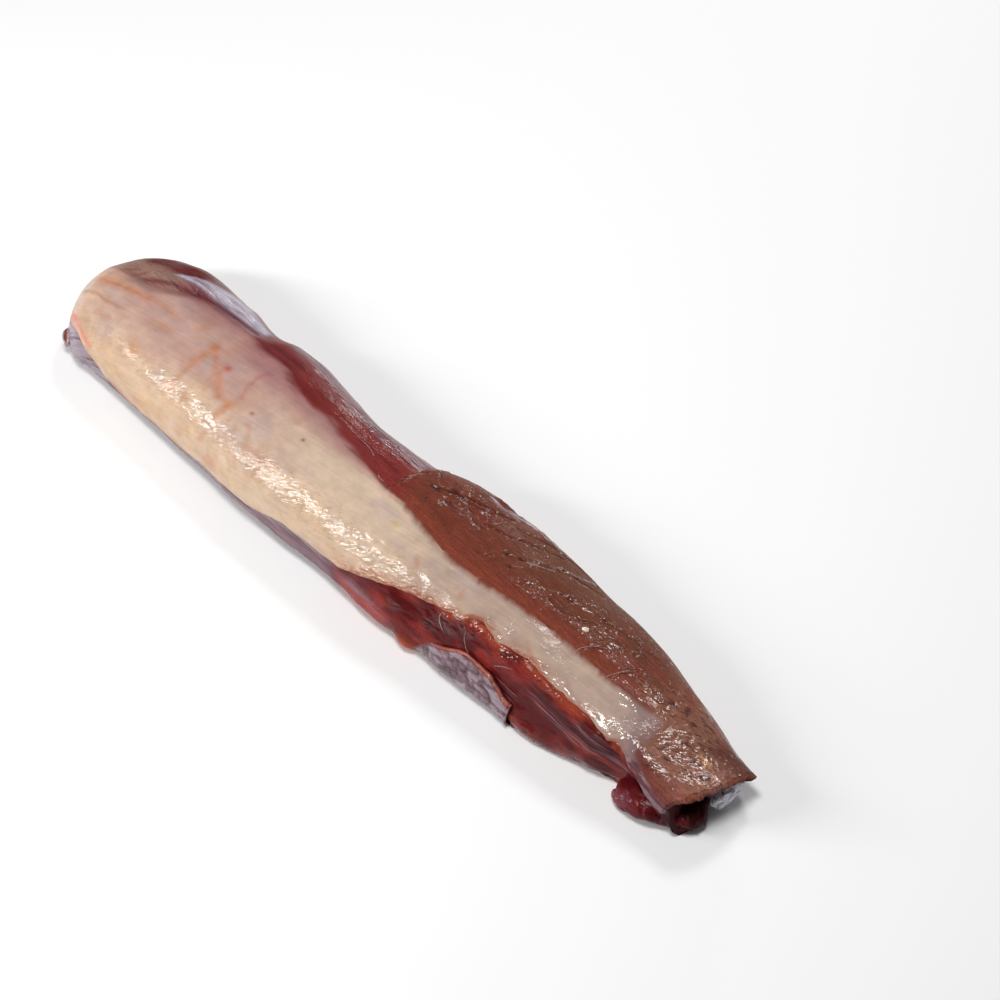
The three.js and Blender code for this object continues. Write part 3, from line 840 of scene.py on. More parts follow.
def silverskin_edges(x, t, wide, small):
    """Layers of mauve at the silverskin's upper edge, and at its lower one of torn rim and of pink rim with
    a painted highlight on the folded edge.
    """
    lower, upper = along(SKIN_LOWER_EDGE, x), along(SKIN_UPPER_EDGE, x)
    mauve = step(upper - 1.5 * upper_fade(x), upper + 1, t + 3.5 * wide)
    top_far = step(upper - 8, upper, t + 2 * small) * step(-120, -150, x)
    fringe = step(-24, 0, x) * step(172, 160, x) * step(lower + 3.2, lower + 0.4, t + 2.6 * small)
    tucked = step(-200, -215, x) * step(-6, -18, t) + step(-172, -160, x) * step(-100, -130, x)
    rim = step(lower + 3.5, lower + 0.6, t) * step(-40, -70, x)
    return [
        (MAUVE, 0.85 * (mauve * step(-205, -170, x) * step(6, -30, x))),
        (FAR_MAUVE, 0.6 * top_far),
        (FRINGE_RED, 0.85 * fringe),
        # Pink rim, partly painted highlight on the folded edge.
        (RIM_PINK_AND_HIGHLIGHT, rim * np.clip(0.5 + tucked, 0, 1) * 0.6),
    ]


def silverskin_marks(x, t):
    """Layers of streaks and spots on the silverskin."""
    wander = 0.9 * fractal(x / 5, t / 5, 103)
    patchy = 0.95 + 0.5 * fractal(x / 3, t / 3, 109)
    streaks = [(tint, strength * patchy * stroke(x + wander, t + wander, line, width))
               for tint, strength, width, line in SKIN_STREAKS]
    return streaks + [(tint, strength * spot(x, t, place, half_x, half_t))
                      for tint, strength, place, half_x, half_t in SKIN_SPOTS]


def silverskin_colour(x, t):
    """The silverskin with its stains and marks, which passes into the red muscle and the brown one."""
    wide = fractal(x / 30, t / 14, 101)
    small = fractal(x / 9, t / 6, 102)
    hairs = fractal(x / 1.7 + t / 3, t / 5, 124, 2)
    edge = along(SKIN_UPPER_EDGE, x)
    end = step(STRIP_END_X - 24, STRIP_END_X + 2, x + 0.6 * t + 6 * small)
    seam = bump(t + 0.6 * hairs, edge - 0.6, 2.2) * beside_brown(x)
    onto_brown = step(edge - 1.7, edge + 1.7, t + 0.7 * hairs + ragged(x, 0 * x)) * beside_brown(x)
    past_end = step(STRIP_END_X - 1, STRIP_END_X + 8, x + 2.5 * hairs + 0.6 * t)
    colour = silverskin_ground(x, t, wide, small)
    colour = layered(colour, *silverskin_edges(x, t, wide, small), *silverskin_marks(x, t))
    colour = laid(colour, STRIP_END_GREY, 0.85 * end)
    colour = mixed(colour, muscle_colour(x, t), muscle_share(x, t))
    colour = laid(colour, SEAM_BROWN, 0.5 * seam)
    return mixed(colour, brown_colour(x, t), np.maximum(onto_brown, past_end))


def muscle_share(x, t):
    """1 where the silverskin has thinned out and shows the red muscle under it."""
    soft = edge_softness(x)
    wisps = fractal(x / 14 + t / 5, t / 1.8, 108)
    patches = fractal(x / 14, t / 5, 110)
    uneven = 1.8 * wisps + 3.4 * patches * step(-150, -125, x) * step(-12, -50, x)
    edge = along(SKIN_UPPER_EDGE, x)
    return step(edge - 1.3 * soft, edge + 1.6 * soft, t + uneven) * step(4, -6, x)


def far_shoulder_colour(x, t, colour):
    """Taupe skin, a dark patch and white membrane on the small far muscle, with painted shade along its
    creases.
    """
    wide = fractal(x / 9, t / 5, 111)
    crease = shoulder_crease(x)
    beyond = step(crease - 3, crease, t) * step(-116, -128, x)
    film_width = 1.5 + 5.5 * step(-188, -150, x)
    film = np.exp(-(((t + wide - along(FILM_MIDDLE, x)) / film_width) ** 2))
    film = film * step(-190, -178, x) * step(-122, -130, x)
    fibres = fractal(x / 16 + t / 9, t / 1.7 - x / 9, 112, 2)
    # Painted shade along the creases.
    dark = stroke(x, t + 1.3 * wide, SHOULDER_CREASE, 6.5)
    dark = np.maximum(dark, 0.75 * stroke(x, t + 0.6 * wide, FAR_CREASE, 3.2))
    nicks = sum(stroke(x, t, line, width) for line, width in FAR_NICKS)
    return layered(
        colour,
        (SHOULDER_RED, 0.9 * beyond),
        (TAUPE, 0.95 * beyond * step(-166, -184, x + 6 * wide)),
        (SHOULDER_DARK, beyond * 1.8 * stroke(x, t + 2 * wide, SHOULDER_PATCH, 11)),
        (SHOULDER_FILM, 0.8 * beyond * step(0.05, 0.5, film)),
        (WHITE_MEMBRANE, beyond * step(0.25, 0.8, film) * step(-0.65, 0.05, fibres)),
        (SHOULDER_FIBRES, 0.7 * beyond * step(0.1, 0.35, fibres) * step(42, 47, t)),
        (CREASE_SHADE, 1.1 * dark),
        (FAR_EDGE_RED, 0.6 * stroke(x, t, FAR_EDGE, 3.4)),
        (NICK_RED, 0.7 * nicks),
    )


def among_strands(x, t):
    """1 among the strands on the far side of the red muscle."""
    low = along(STRAND_EDGE, x) + 1.5 * fractal(x / 9, t / 9, 62)
    return step(-145, -120, x) * step(-6, -12, x) * step(low, low + 4, t)


def red_side_colour(x, t):
    """Red muscle right of the silverskin, with grey strands towards the outline."""
    dark = fractal(x / 18, t / 3, 161)
    return layered(
        filled(RED, x),
        (DARK_RED, 0.5 * step(-0.1, 0.7, dark)),
        (STRAND_BED, 0.8 * among_strands(x, t)),
        (PATCH_RED, spot(x, t, (-108, 30), 13, 6) * step(-0.3, 0.3, dark + 0.3)),
    )


def left_side_colour(x, t):
    """Dark red under the strip, brighter along its edge and on the bulge, with painted shade along a
    furrow.
    """
    wide = fractal(x / 12, t / 6, 131)
    lower = along(SKIN_LOWER_EDGE, x)
    glow = step(40, 60, x) * step(lower - 5, lower - 0.5, t) * step(-0.4, 0.4, wide)
    edge = step(-8, 4, x) * step(38, 24, x) * step(-38, -44, t + 2 * wide)
    return layered(
        filled(DARK_RED, x),
        (LEFT_RED, 0.8 * step(-0.3, 0.5, wide)),
        (GLOW_RED, 0.8 * glow),
        (EDGE_RED, 0.8 * edge),
        # Painted shade along the furrow.
        (FURROW_SHADE, 0.7 * stroke(x, t + 2 * wide, DARK_SIDE_FURROW, 4)),
        (BULGE_RED, step(104, 108, x) * step(165, 140, x) * step(-34, -46, t + 6 * wide)),
        (RIM_ORANGE, 0.9 * step(103, 104.5, x) * step(109, 105, x) * step(-36, -42, t)),
        (TIP_ORANGE, 0.95 * spot(x, t, (43, -50.5), 6, 4.5)),
        (SIDE_FILM, 0.8 * spot(x, t, (10, -41), 11, 2.6)),
    )


def hidden_side_colour(x, t, colour):
    """The low sides and the underside: dark flesh with streaks of pale membrane."""
    film = fractal(x / 20, t / 4, 151)
    dark_film = fractal(x / 24, t / 2.4, 152)
    lower, wide = along(SKIN_LOWER_EDGE, x), widest_arc(x)
    low_left = step(lower + 2, lower, t) * step(0, -14, x)
    pale = np.maximum(step(-150, -175, x), step(lower - 1.5, lower, t))
    under = np.maximum(step(wide - 2, wide + 10, t), step(-56, -66, t))
    return layered(
        colour,
        (LOW_FILM, low_left),
        (LOW_FILM_PALE, 0.85 * low_left * pale),
        (LOW_FILM_DARK, 0.8 * low_left * step(0.0, 0.4, dark_film)),
        (DARK_RED, 0.8 * under),
        (WHITE_MEMBRANE, 0.5 * under * step(0.15, 0.6, film) * step(196, 186, x)),
        (END_DARK, step(192, 199, x) * step(-6, -12, t)),
    )


def muscle_colour(x, t):
    """Colour of the muscle at stations x and arcs t."""
    left = step(4, -4, t) * step(-30, -16, x)
    colour = mixed(red_side_colour(x, t), left_side_colour(x, t), left)
    colour = far_shoulder_colour(x, t, colour)
    return hidden_side_colour(x, t, colour)


def brown_ground(x, t, wide, small):
    """Red-brown next to the strip, olive brown greyed with painted sheen towards the outline, and olive
    brown towards the cut end.
    """
    outer = step(26, 44, t + 7 * wide) * step(30, 70, x + 10 * wide)
    front = step(24, 8, x) * step(34, 46, t + 4 * wide)
    near = step(130, 165, x + 8 * wide)
    redder = step(112, 128, x) * step(176, 160, x) * step(0.0, 0.4, fractal(x / 9, t / 6, 130))
    upper = along(SKIN_UPPER_EDGE, x)
    return layered(
        filled(BROWN, x),
        (BROWN_DARK, 0.4 * step(0.05, 0.5, small)),
        # Olive brown, greyed with painted sheen.
        (OLIVE_AND_SHEEN, 0.85 * np.maximum(outer, 0.8 * front)),
        (BROWN_MIDDLE, 0.6 * (step(40, 70, x) * step(155, 130, x) * step(14, 24, t + 4 * wide))),
        (NEAR_OLIVE, near),
        (NEAR_DARK, near * step(180, 192, x + 6 * wide) * step(11, 18, t)),
        (NEAR_RED, 0.7 * redder),
        (BROWN_RED, 0.6 * step(upper + 11, upper + 1, t) * step(150, 120, x)),
    )


def slab_layers(x, t, wide, small):
    """Layers on the slab: its left fold with a grey band and a lip of dark flesh with painted shade below
    it, puckers with painted sheen and its cut edge.
    """
    near = step(130, 165, x + 8 * wide)
    fold = near_fold(x)
    at_fold = step(160, 168, x)
    band = at_fold * step(fold + 1.2, fold - 1.2, t + small)
    pucker = step(166, 178, x) * step(24, 16, t) * step(-9, -3, t)
    from_end = near_end(t) - x
    return [
        (FOLD_BROWN, 0.8 * near * step(fold + 7, fold + 1, t + 2 * small)),
        (BAND_GREY, 0.9 * band),
        (BAND_DARK, 0.85 * band * step(0.12, -0.2, fractal(x / 9, t / 1.8, 127))),
        # Dark flesh and painted shade below the fold.
        (LIP_DARK_AND_SHADE, 0.95 * at_fold * step(fold - 5, fold - 9, t + small)),
        # Painted sheen of the puckers' glints.
        (PUCKER_SHEEN, 0.7 * pucker * step(-0.5, 0.3, small)),
        (LIP_RED, 0.7 * near * step(0, -6, t) * step(fold - 1, fold + 2, t)),
        (CUT_EDGE, 0.85 * step(1.9, 0.8, from_end + 0.6 * small) * step(-11, -4, t)),
        (CUT_EDGE_PINK, 0.4 * spot(x, t, (206, -6), 3.0, 3.0)),
        (FAT_YELLOW, 0.9 * stroke(x, t, FAT_LINE, 2.6)),
    ]


def brown_marks(x, t, wide):
    """Layers of streaks on the brown muscle's outer side, and of painted shade in its grooves and pits."""
    widest = widest_arc(x)
    side = step(widest - 10, widest - 2, t + 2 * wide)
    streaks = fractal(x / 18 + t / 12, t / 1.8, 134)
    wander_x, wander_t = groove_wander(x, t)
    # Painted shade along the grooves and in the pits.
    grooves = [(GROOVE_SHADE, 0.9 * depth * stroke(x + wander_x, t + wander_t, line, 1.3))
               for depth, _, line in BROWN_GROOVES]
    pits = [(PIT_SHADE, 0.8 * spot(x + wander_x, t, place, 1.8, 1.0)) for place in BROWN_PITS]
    return [(SIDE_STREAKS, 0.5 * side * step(0.1, 0.5, streaks))] + grooves + pits


def brown_colour(x, t):
    """The brown muscle, which passes into the red one at its front, has painted glints along its front
    ridge and pale films at its outline.
    """
    wide = fractal(x / 22, t / 8, 121)
    small = fractal(x / 6, t / 4, 122)
    from_front = x - brown_front(t)
    ridge = step(12, 18, t) * bump(from_front + 0.8 * small, 1.8, 2.2)
    glint_curls = step(-0.05, 0.2, fractal(t / 1.7, x / 1.3, 133, 2))
    torn = step(-0.3, 0.3, fractal(x / 9, t / 1.4, 123))
    colour = brown_ground(x, t, wide, small)
    colour = layered(colour, *slab_layers(x, t, wide, small), *brown_marks(x, t, wide))
    merging = step(15, 0, from_front + 4 * small) * step(30, 12, t)
    colour = mixed(colour, red_side_colour(x, t), merging)
    # Painted glints in curls along the front ridge.
    colour = laid(colour, RIDGE_GLINTS, 0.5 * ridge * glint_curls)
    for line in OUTLINE_FILMS:
        film = stroke(x, t + 1.2 * small, line, 4.5) * torn
        colour = laid(colour, OUTLINE_FILM, 0.8 * film)
    return colour


def near_cap_colour(y, z, depth):
    """Dark torn flesh round a pocket blackened with painted shade, with bluish membrane on the right."""
    wide = fractal(y / 4, z / 3, 221)
    folds = fractal(y / 6, z / 1.3 + y / 5, 202)
    film = step(0, 6, y + 3 * wide) * step(3, 7, z + 0.3 * y)
    pocket = np.exp(-((y + 1) / 8) ** 2 - ((z - 11) / 4.5) ** 2)
    return layered(
        filled(TORN_DARK, y),
        (LOBE_RED, 0.7 * step(0.0, 0.5, wide)),
        (POCKET_FILM, 0.8 * film),
        (POCKET_FILM_PALE, 0.9 * film * step(-0.3, 0.15, folds)),
        (SLAB_RIM, 0.8 * step(-10, -4, y) * step(0.16, 0.05, depth) * step(14, 17, z)),
        # Painted shade in the pocket.
        (POCKET_SHADE, 1.5 * pocket),
    )


def far_cap_colour(y, z, depth):
    """Dark red cut flesh in bundles inside a pale rim of silverskin."""
    cells = np.abs(fractal(y / 6, z / 5, 211))
    return layered(
        filled(RED, y),
        (BUNDLE_RIM, 0.6 * step(0.12, 0.0, cells)),
        (DARK_RED, 0.5 * step(0.2, 0.7, cells)),
        (CREAM_FAR, step(0.10, 0.02, depth) * step(6, 14, z) * 0.9),
    )


def flap_colour(x, t):
    """Grey-purple wrinkled membrane with an orange-pink rim, painted highlights on its wrinkles' ridges and
    painted shade in their valleys.
    """
    rim = flap_rim(x)
    veins, fine = flap_wrinkles(x, t)
    low = t + 5 * fractal(x / 6, t / 6, 175)
    colour = layered(
        filled(FLAP_PURPLE, x),
        # Painted highlight on the wrinkles' ridges and painted shade in their valleys.
        (FLAP_RIDGE_HIGHLIGHT, 0.85 * step(0.2, 0.45, veins + 0.3 * fine)),
        (FLAP_VALLEY_SHADE, 0.85 * step(0.12, 0.0, veins + 0.12 * fine)),
        (FLAP_FOOT_RED, 0.8 * step(-44, -54, low)),
    )
    glow = step(55, 68, x)[..., None] * np.array(FLAP_RIM_GLOW)
    band = 0.85 * step(rim - 2.6, rim - 0.6, t + 1.4 * fractal(x / 5, t / 5, 172))
    return mixed(colour, np.array(FLAP_RIM) + glow, np.clip(band, 0, 1))


# Colours of the lumps at places y across and z above the floor, with wide and small noise

def lobe_colour(x, y, z, wide, small):
    """Glossy crimson flesh with a few pale veins."""
    veins = np.abs(fractal(x / 10 + y / 14, y / 4 - z / 6, 183))
    return layered(
        filled(LOBE_RED, x),
        (LOBE_BRIGHT, 0.8 * step(-0.1, 0.5, wide)),
        (LOBE_VEIN, 0.5 * step(0.05, 0.0, veins) * step(-0.2, 0.3, small + 0.2)),
        (LOBE_LEFT, 0.6 * step(-22.5, -26, y + 3 * wide) * step(184, 176, x)),
    )


def rosy_colour(x, y, z, wide, small):
    """Flesh that is paler towards the left."""
    return layered(filled(ROSY, x), (ROSY_PALE, 0.6 * step(-0.1, 0.4, wide) * step(-22, -26, y)))


def dark_colour(x, y, z, wide, small):
    """Nearly black flesh, redder at its foot and on the left, with pale flecks there."""
    return layered(
        filled(END_DARK, x),
        (END_RED, 0.8 * step(-14, -19, y + 6 * wide)),
        (END_FOOT, 0.8 * step(4, 1.5, z + 2 * small)),
        (END_FLECKS, 0.7 * step(0.35, 0.6, small) * step(-14, -19, y)),
    )


def tag_colour(x, y, z, wide, small):
    """Red-brown scrap under torn grey film."""
    return layered(filled(TAG_RED, x), (TAG_FILM, 0.85 * step(-0.1, 0.2, wide + 0.6 * small)))


def pale_film_colour(x, y, z, wide, small):
    """Bluish white film, lightened with painted light, with dark folds."""
    folds = fractal(y / 7, z / 1.2 + y / 5, 184)
    return layered(filled(PALE_FILM_AND_LIGHT, x), (PALE_FILM_DARK, 0.85 * step(0.0, 0.3, folds + 0.3 * small)))


def grey_film_colour(x, y, z, wide, small):
    """Grey film over dark red flesh."""
    return layered(filled(GREY_FILM, x), (GREY_FILM_DARK, 0.8 * step(0.1, 0.5, wide + 0.4 * small)))


def fat_colour(x, y, z, wide, small):
    """Plain pale fat."""
    return filled(FAT, x)


# Each kind of lump: its colour, how puckered and how wet it is.
LUMP_KINDS = {
    "lobe": (lobe_colour, 0.25, 0.25),
    "rosy": (rosy_colour, 0.3, 0.3),
    "dark": (dark_colour, 0.5, 0.2),
    "tag": (tag_colour, 0.5, 0.4),
    "film": (grey_film_colour, 0.5, 1.0),
    "pale_film": (pale_film_colour, 0.5, 1.0),
    "fat": (fat_colour, 0.2, 0.6),
}


# Puckers, wetness and strands over the loin, from 0 to 1

def torn_fringe(x, t):
    """1 on the torn reddish tissue along the strip's lower edge, 0 on clean silverskin."""
    lower = along(SKIN_LOWER_EDGE, x)
    reach = step(-10, 8, x) * step(160, 140, x) * (0.5 + 0.5 * step(74, 62, x))
    width = 6 + 2.5 * step(62, 40, x)
    return reach * step(lower + width, lower + 1.5, t + 3.0 * fractal(x / 7, t / 5, 114))


def silverskin_crumple(x, t):
    """Where the silverskin is finely puckered: clusters along the left shoulder and the strip's edge."""
    band = bump(t, -22 + 8 * step(0, 50, x), 15) * step(-222, -190, x) * step(60, 30, x)
    clusters = step(-0.7, 0.0, fractal(x / 10, t / 6, 107))
    strip = np.maximum(0.9 * torn_fringe(x, t), spots(x, t, PUCKERED_SPOTS))
    return np.clip(1.2 * band * clusters * (0.7 + 0.3 * step(-160, -120, x)) + 1.4 * strip, 0, 1)


def silverskin_wet(x, t):
    """How wet the silverskin is: in patches along the shoulder, dull where it thins out and ends."""
    patches = 0.25 + 0.75 * step(-0.25, 0.2, fractal(x / 8, t / 4, 113))
    patches = np.maximum(patches, step(-90, -60, x) * step(60, 30, x))
    far = 0.7 + 0.3 * step(-172, -120, x)
    at_end = step(STRIP_END_X - 22, STRIP_END_X, x + 0.6 * t) * step(-7, 0, t)
    dull = np.maximum(muscle_share(x, t), at_end)
    dull = np.maximum(dull, step(58, 74, x) * step(134, 120, x) * step(-3, 2, t))
    return np.maximum(patches * far, 0.8 * torn_fringe(x, t)) * (1 - 0.75 * dull)


def brown_crumple(x, t):
    """Where the brown muscle's skin is puckered: patches at the cut end and lines along its grooves."""
    end = np.maximum.reduce([strength * spot(x, t, place, half_x, half_t)
                             for strength, place, half_x, half_t in NEAR_PUCKERS])
    lines = strokes(x, t + 1.0, [line for _, _, line in BROWN_GROOVES], 3.0)
    lines = np.maximum(lines, strokes(x, t, BROWN_CREASES, 2.2))
    rows = strokes(x, t, PUCKER_ROWS, 2.2)
    patches = step(-0.1, 0.3, fractal(x / 3, t / 3, 125))
    dotted = step(-0.05, 0.2, fractal(x / 2.2, t / 1.6, 128))
    over_front = step(-10, 10, x) * step(60, 30, x) * step(16, 26, t)
    over_middle = step(98, 118, x) * step(12, 18, t) * step(52, 42, t)
    dots = step(0.3, 0.5, fractal(x / 3, t / 2, 129)) * (over_front + over_middle)
    return np.clip(end * 1.4 + 0.9 * lines * patches + 1.1 * rows * dotted + 0.7 * dots, 0, 1)


def muscle_crumple(x, t):
    """Where the red muscle is puckered: under the strip's ragged edge and in spots on the dark side."""
    lower = along(SKIN_LOWER_EDGE, x)
    clusters = step(0.0, 0.45, fractal(x / 8, t / 4, 126))
    under_strip = step(20, 45, x) * step(lower - 6, lower - 2, t) * step(lower + 2, lower, t)
    low = step(-10, 10, x) * step(-20, -30, t)
    return np.clip(clusters * (under_strip + 0.35 * low) + 1.3 * spots(x, t, DARK_SIDE_GLINTS), 0, 1)


def muscle_strands(x, t):
    """Where pale strands lie on the red muscle: by the outline on the right and along the dark side."""
    low = 0.8 * step(-6, -20, x) * step(-38, -42, t)
    wide = widest_arc(x)
    right = among_strands(x, t) * (0.2 + 0.8 * step(wide + 1, wide - 8, t))
    on_shoulder = 0.5 * stroke(x, t, SHOULDER_STRANDS, 14)
    return np.clip(right + on_shoulder + 0.8 * strokes(x, t, DARK_SIDE_STRANDS, 5) + low, 0, 1)


def muscle_wet(x, t):
    """How wet the red muscle is: least on its right and far shoulder, most on strands and puckers."""
    right = step(-4, 4, t) * step(-135, -120, x) * step(-3, 3, along(STRAND_EDGE, x) - t)
    wet = 0.6 - 0.35 * right - 0.25 * step(4, -4, t) * step(-30, -10, x)
    wet = wet * (1 - 0.85 * step(13, 18, t) * step(-168, -180, x))
    return np.maximum(wet, np.maximum(muscle_crumple(x, t), 0.7 * muscle_strands(x, t)))


# Meshes

def add_mesh(name, points, faces, colour, grain, crumple, wet=1.0, strands=0.0):
    """A mesh object with its colours, its grain coordinates, how puckered and how wet it is, and how
    many pale strands it shows."""
    mesh = bpy.data.meshes.new(name)
    mesh.from_pydata(points.tolist(), [], faces)
    mesh.update()
    rgba = np.concatenate([colour, np.ones((len(colour), 1))], 1).astype(np.float32)
    mesh.attributes.new("paint", "FLOAT_COLOR", "POINT").data.foreach_set("color", rgba.ravel())
    vectors = grain.astype(np.float32).ravel()
    mesh.attributes.new("grain", "FLOAT_VECTOR", "POINT").data.foreach_set("vector", vectors)
    for title, share in (("crumple", crumple), ("wet", wet), ("strands", strands)):
        values = np.broadcast_to(share, len(points)).astype(np.float32)
        mesh.attributes.new(title, "FLOAT", "POINT").data.foreach_set("value", values)
    mesh.shade_smooth()
    piece = bpy.data.objects.new(name, mesh)
    bpy.context.scene.collection.objects.link(piece)
    return piece


def grid_faces(rows, columns, closed=False, first=0, flipped=False):
    """Quads of a grid of points, facing out where rows run along +X and columns from left to right."""
    faces = []
    for i in range(rows - 1):
        for j in range(columns if closed else columns - 1):
            k = (j + 1) % columns
            quad = (i * columns + j, (i + 1) * columns + j, (i + 1) * columns + k, i * columns + k)
            faces.append(tuple(first + n for n in (quad[::-1] if flipped else quad)))
    return faces


def wall_faces(rows, columns):
    """Quads that join the rims of a sheet's upper and lower grid."""
    size = rows * columns
    rim = [(i, 0) for i in range(rows)] + [(rows - 1, j) for j in range(1, columns)]
    rim += [(i, columns - 1) for i in range(rows - 2, -1, -1)] + [(0, j) for j in range(columns - 2, 0, -1)]
    numbers = [i * columns + j for i, j in rim]
    return [(b, a, a + size, b + size) for a, b in zip(numbers, numbers[1:] + numbers[:1])]


def grain_over(x, t):
    """Grain coordinates over a grid of stations and arcs."""
    return np.stack([x, t, np.zeros_like(x)], -1).reshape(-1, 3)


def make_sheet(name, x, t, top, thickness, colour, crumple, under_colour, wet=1.0, strands=0.0):
    """A closed sheet over a grid of stations and arcs, its upper side risen by top."""
    rows, columns = x.shape
    upper, lower = surface(x, t, top), surface(x, t, top - thickness)
    points = np.concatenate([upper.reshape(-1, 3), lower.reshape(-1, 3)])
    faces = grid_faces(rows, columns)
    faces += grid_faces(rows, columns, first=rows * columns, flipped=True)
    faces += wall_faces(rows, columns)
    colours = np.concatenate([colour.reshape(-1, 3), under_colour.reshape(-1, 3)])

    def both(values):
        """Values for the upper side and again for the lower one."""
        return np.concatenate([np.broadcast_to(values, x.shape).ravel()] * 2)

    grain = np.concatenate([grain_over(x, t)] * 2)
    return add_mesh(name, points, faces, colours, grain, both(crumple), both(wet), both(strands))


def spread(count, edge=0.006):
    """Places from 0 to 1, even but for two close ones at each end."""
    even = np.linspace(0, 1, count - 4)[1:-1]
    return np.concatenate([[0, edge, 2.5 * edge], even, [1 - 2.5 * edge, 1 - edge, 1]])


def body_columns():
    """Even arcs s from -1 up to 1, closer together on the sides that show."""
    left = np.linspace(0, 1, LEFT_COLUMNS + 1)[1:]
    right = np.linspace(0, 1, RIGHT_COLUMNS + 1)[1:-1]
    return np.concatenate([-(0.74 * left + 0.26 * left**4)[::-1], [0.0], 0.74 * right + 0.26 * right**4])


def cap(edge, push, hollow):
    """Rings that close an end, from the edge inwards: their points and how far in each lies."""
    centre = edge.mean(0)
    rings, depths = [], []
    for scale in np.linspace(1, 0, CAP_RINGS + 1)[1:]:
        ring = centre + (edge - centre) * max(scale, 1e-3)
        ring[:, 0] += push * (1 - scale * scale)
        ring[:, 0] += hollow(ring[:, 1] / MM - SHIFT_Y, ring[:, 2] / MM, scale) * MM
        rings.append(ring)
        depths.append(np.full(len(edge), 1 - scale))
    return rings, depths


def near_hollow(y, z, scale):
    """Depth of the cut end: a dark pocket under the upper slab, and torn flesh."""
    pocket = -6.5 * np.exp(-((y + 1) / 9) ** 2 - ((z - 11.5) / 4.5) ** 2)
    torn = 1.8 * fractal(y / 4.2, z / 3.4, 201) + 0.7 * fractal(y / 6, z / 1.3 + y / 5, 202)
    return (pocket + torn) * step(1.0, 0.6, scale)


def far_face(y, z, scale):
    """The broad end's cut face: rounded bundles of fibres."""
    bundles = 1.1 * np.abs(fractal(y / 6, z / 5, 211)) - 0.3 * fractal(y / 2, z / 2, 212)
    return bundles * step(1.0, 0.85, scale)


def cap_colours(rings, depths, colour):
    """Colours of a cut face's rings."""
    return [colour(ring[:, 1] / MM - SHIFT_Y, ring[:, 2] / MM, depth)
            for ring, depth in zip(rings, depths)]


def cap_grain(rings, offset):
    """Grain coordinates of a cut face's rings."""
    fine = CAP_GRAIN / MM
    return [np.stack([ring[:, 1] * fine, ring[:, 2] * fine, np.full(len(ring), offset)], 1)
            for ring in rings]


def make_muscle():
    """The loin itself: rings of its surface closed by a cut face at each end."""
    x = np.linspace(FAR_X, NEAR_X, MUSCLE_ROWS)[:, None]
    s = body_columns()[None, :]
    t = np.where(s < 0, s * left_arc(x), s * right_arc(x))
    x = np.broadcast_to(x, t.shape)
    rows = surface(x, t, muscle_relief(x, t))
    far_rings, far_depths = cap(rows[0], -FAR_DOME * MM, far_face)
    near_rings, near_depths = cap(rows[-1], -NEAR_HOLLOW * MM, near_hollow)
    points = np.concatenate([*far_rings[::-1], rows.reshape(-1, 3), *near_rings])
    faces = grid_faces(MUSCLE_ROWS + 2 * CAP_RINGS, rows.shape[1], closed=True)

    def with_caps(far, body, near):
        """Values in the order of the points: the far cut face inside out, the body, the near one."""
        return np.concatenate([*far[::-1], body, *near])

    colours = with_caps(cap_colours(far_rings, far_depths, far_cap_colour),
                        muscle_colour(x, t).reshape(-1, 3),
                        cap_colours(near_rings, near_depths, near_cap_colour))
    grain = with_caps(cap_grain(far_rings, FAR_CAP_GRAIN), grain_over(x, t),
                      cap_grain(near_rings, NEAR_CAP_GRAIN))
    face = np.ones(CAP_RINGS * rows.shape[1])
    crumple = with_caps([CAP_CRUMPLE * face], muscle_crumple(x, t).ravel(), [CAP_CRUMPLE * face])
    wet = with_caps([FAR_CAP_WET * face], muscle_wet(x, t).ravel(), [NEAR_CAP_WET * face])
    strands = with_caps([0 * face], muscle_strands(x, t).ravel(), [0 * face])
    return add_mesh("backstrap_muscle", points, faces, colours, grain, crumple, wet, strands)


def silverskin_top(x, t, x_to, t_from, t_to, margin):
    """Height of the silverskin: on the muscle, and lapping onto the brown muscle beside it."""
    film = step(0, margin, t_to - t)
    sheet = 0.38 + SKIN_THICKNESS * film - 0.45 * step(2.5, 0, t_to - t) * (1 - beside_brown(x))
    torn_edge = 0.75 * step(1.4, 0, t - t_from)
    lip = 0.4 * step(0.4, 1.4, t - t_from) * step(5, 2, t - t_from) * step(-10, 10, x)
    lower, upper = along(SKIN_LOWER_EDGE, x), along(SKIN_UPPER_EDGE, x)
    sunk = SKIN_BED * step(-2.5, -5, t - upper) * step(2.5, 4.5, t - lower)
    top = muscle_relief(x, t) + sheet - SKIN_BED + sunk - torn_edge + lip
    left = brown_left(x)
    onto_brown = step(left - 3, left - 0.2, t) * beside_brown(x)
    ends = np.minimum(step(0.6, 2.5, t_to - t), step(0.6, 4, x_to - x))
    over_brown = brown_top(x, t) + 0.14 * ends - 0.03
    return top * (1 - onto_brown) + over_brown * onto_brown


def make_silverskin():
    """The sheet of silverskin, broad at the far end and a strip at the near end."""
    u, v = np.meshgrid(np.linspace(0, 1, SKIN_ROWS), spread(SKIN_COLUMNS), indexing="ij")
    x_from = FAR_X + 0.4
    x_to = STRIP_END_X + 15 - 15 * v + 2.2 * fractal(v * 9, 0 * v, 12)
    x = x_from + (x_to - x_from) * u
    t_from = skin_lower(x)
    margin = 2.8 + (2.2 + 5.0 * step(-150, -125, x)) * step(-14, -34, x)
    t_to = skin_upper(x) + margin
    t = t_from + (t_to - t_from) * v
    top = silverskin_top(x, t, x_to, t_from, t_to, margin)
    colour = silverskin_colour(x, t)
    return make_sheet("silverskin", x, t, top, SKIN_SHEET, colour, silverskin_crumple(x, t), colour,
                      silverskin_wet(x, t), torn_fringe(x, t))


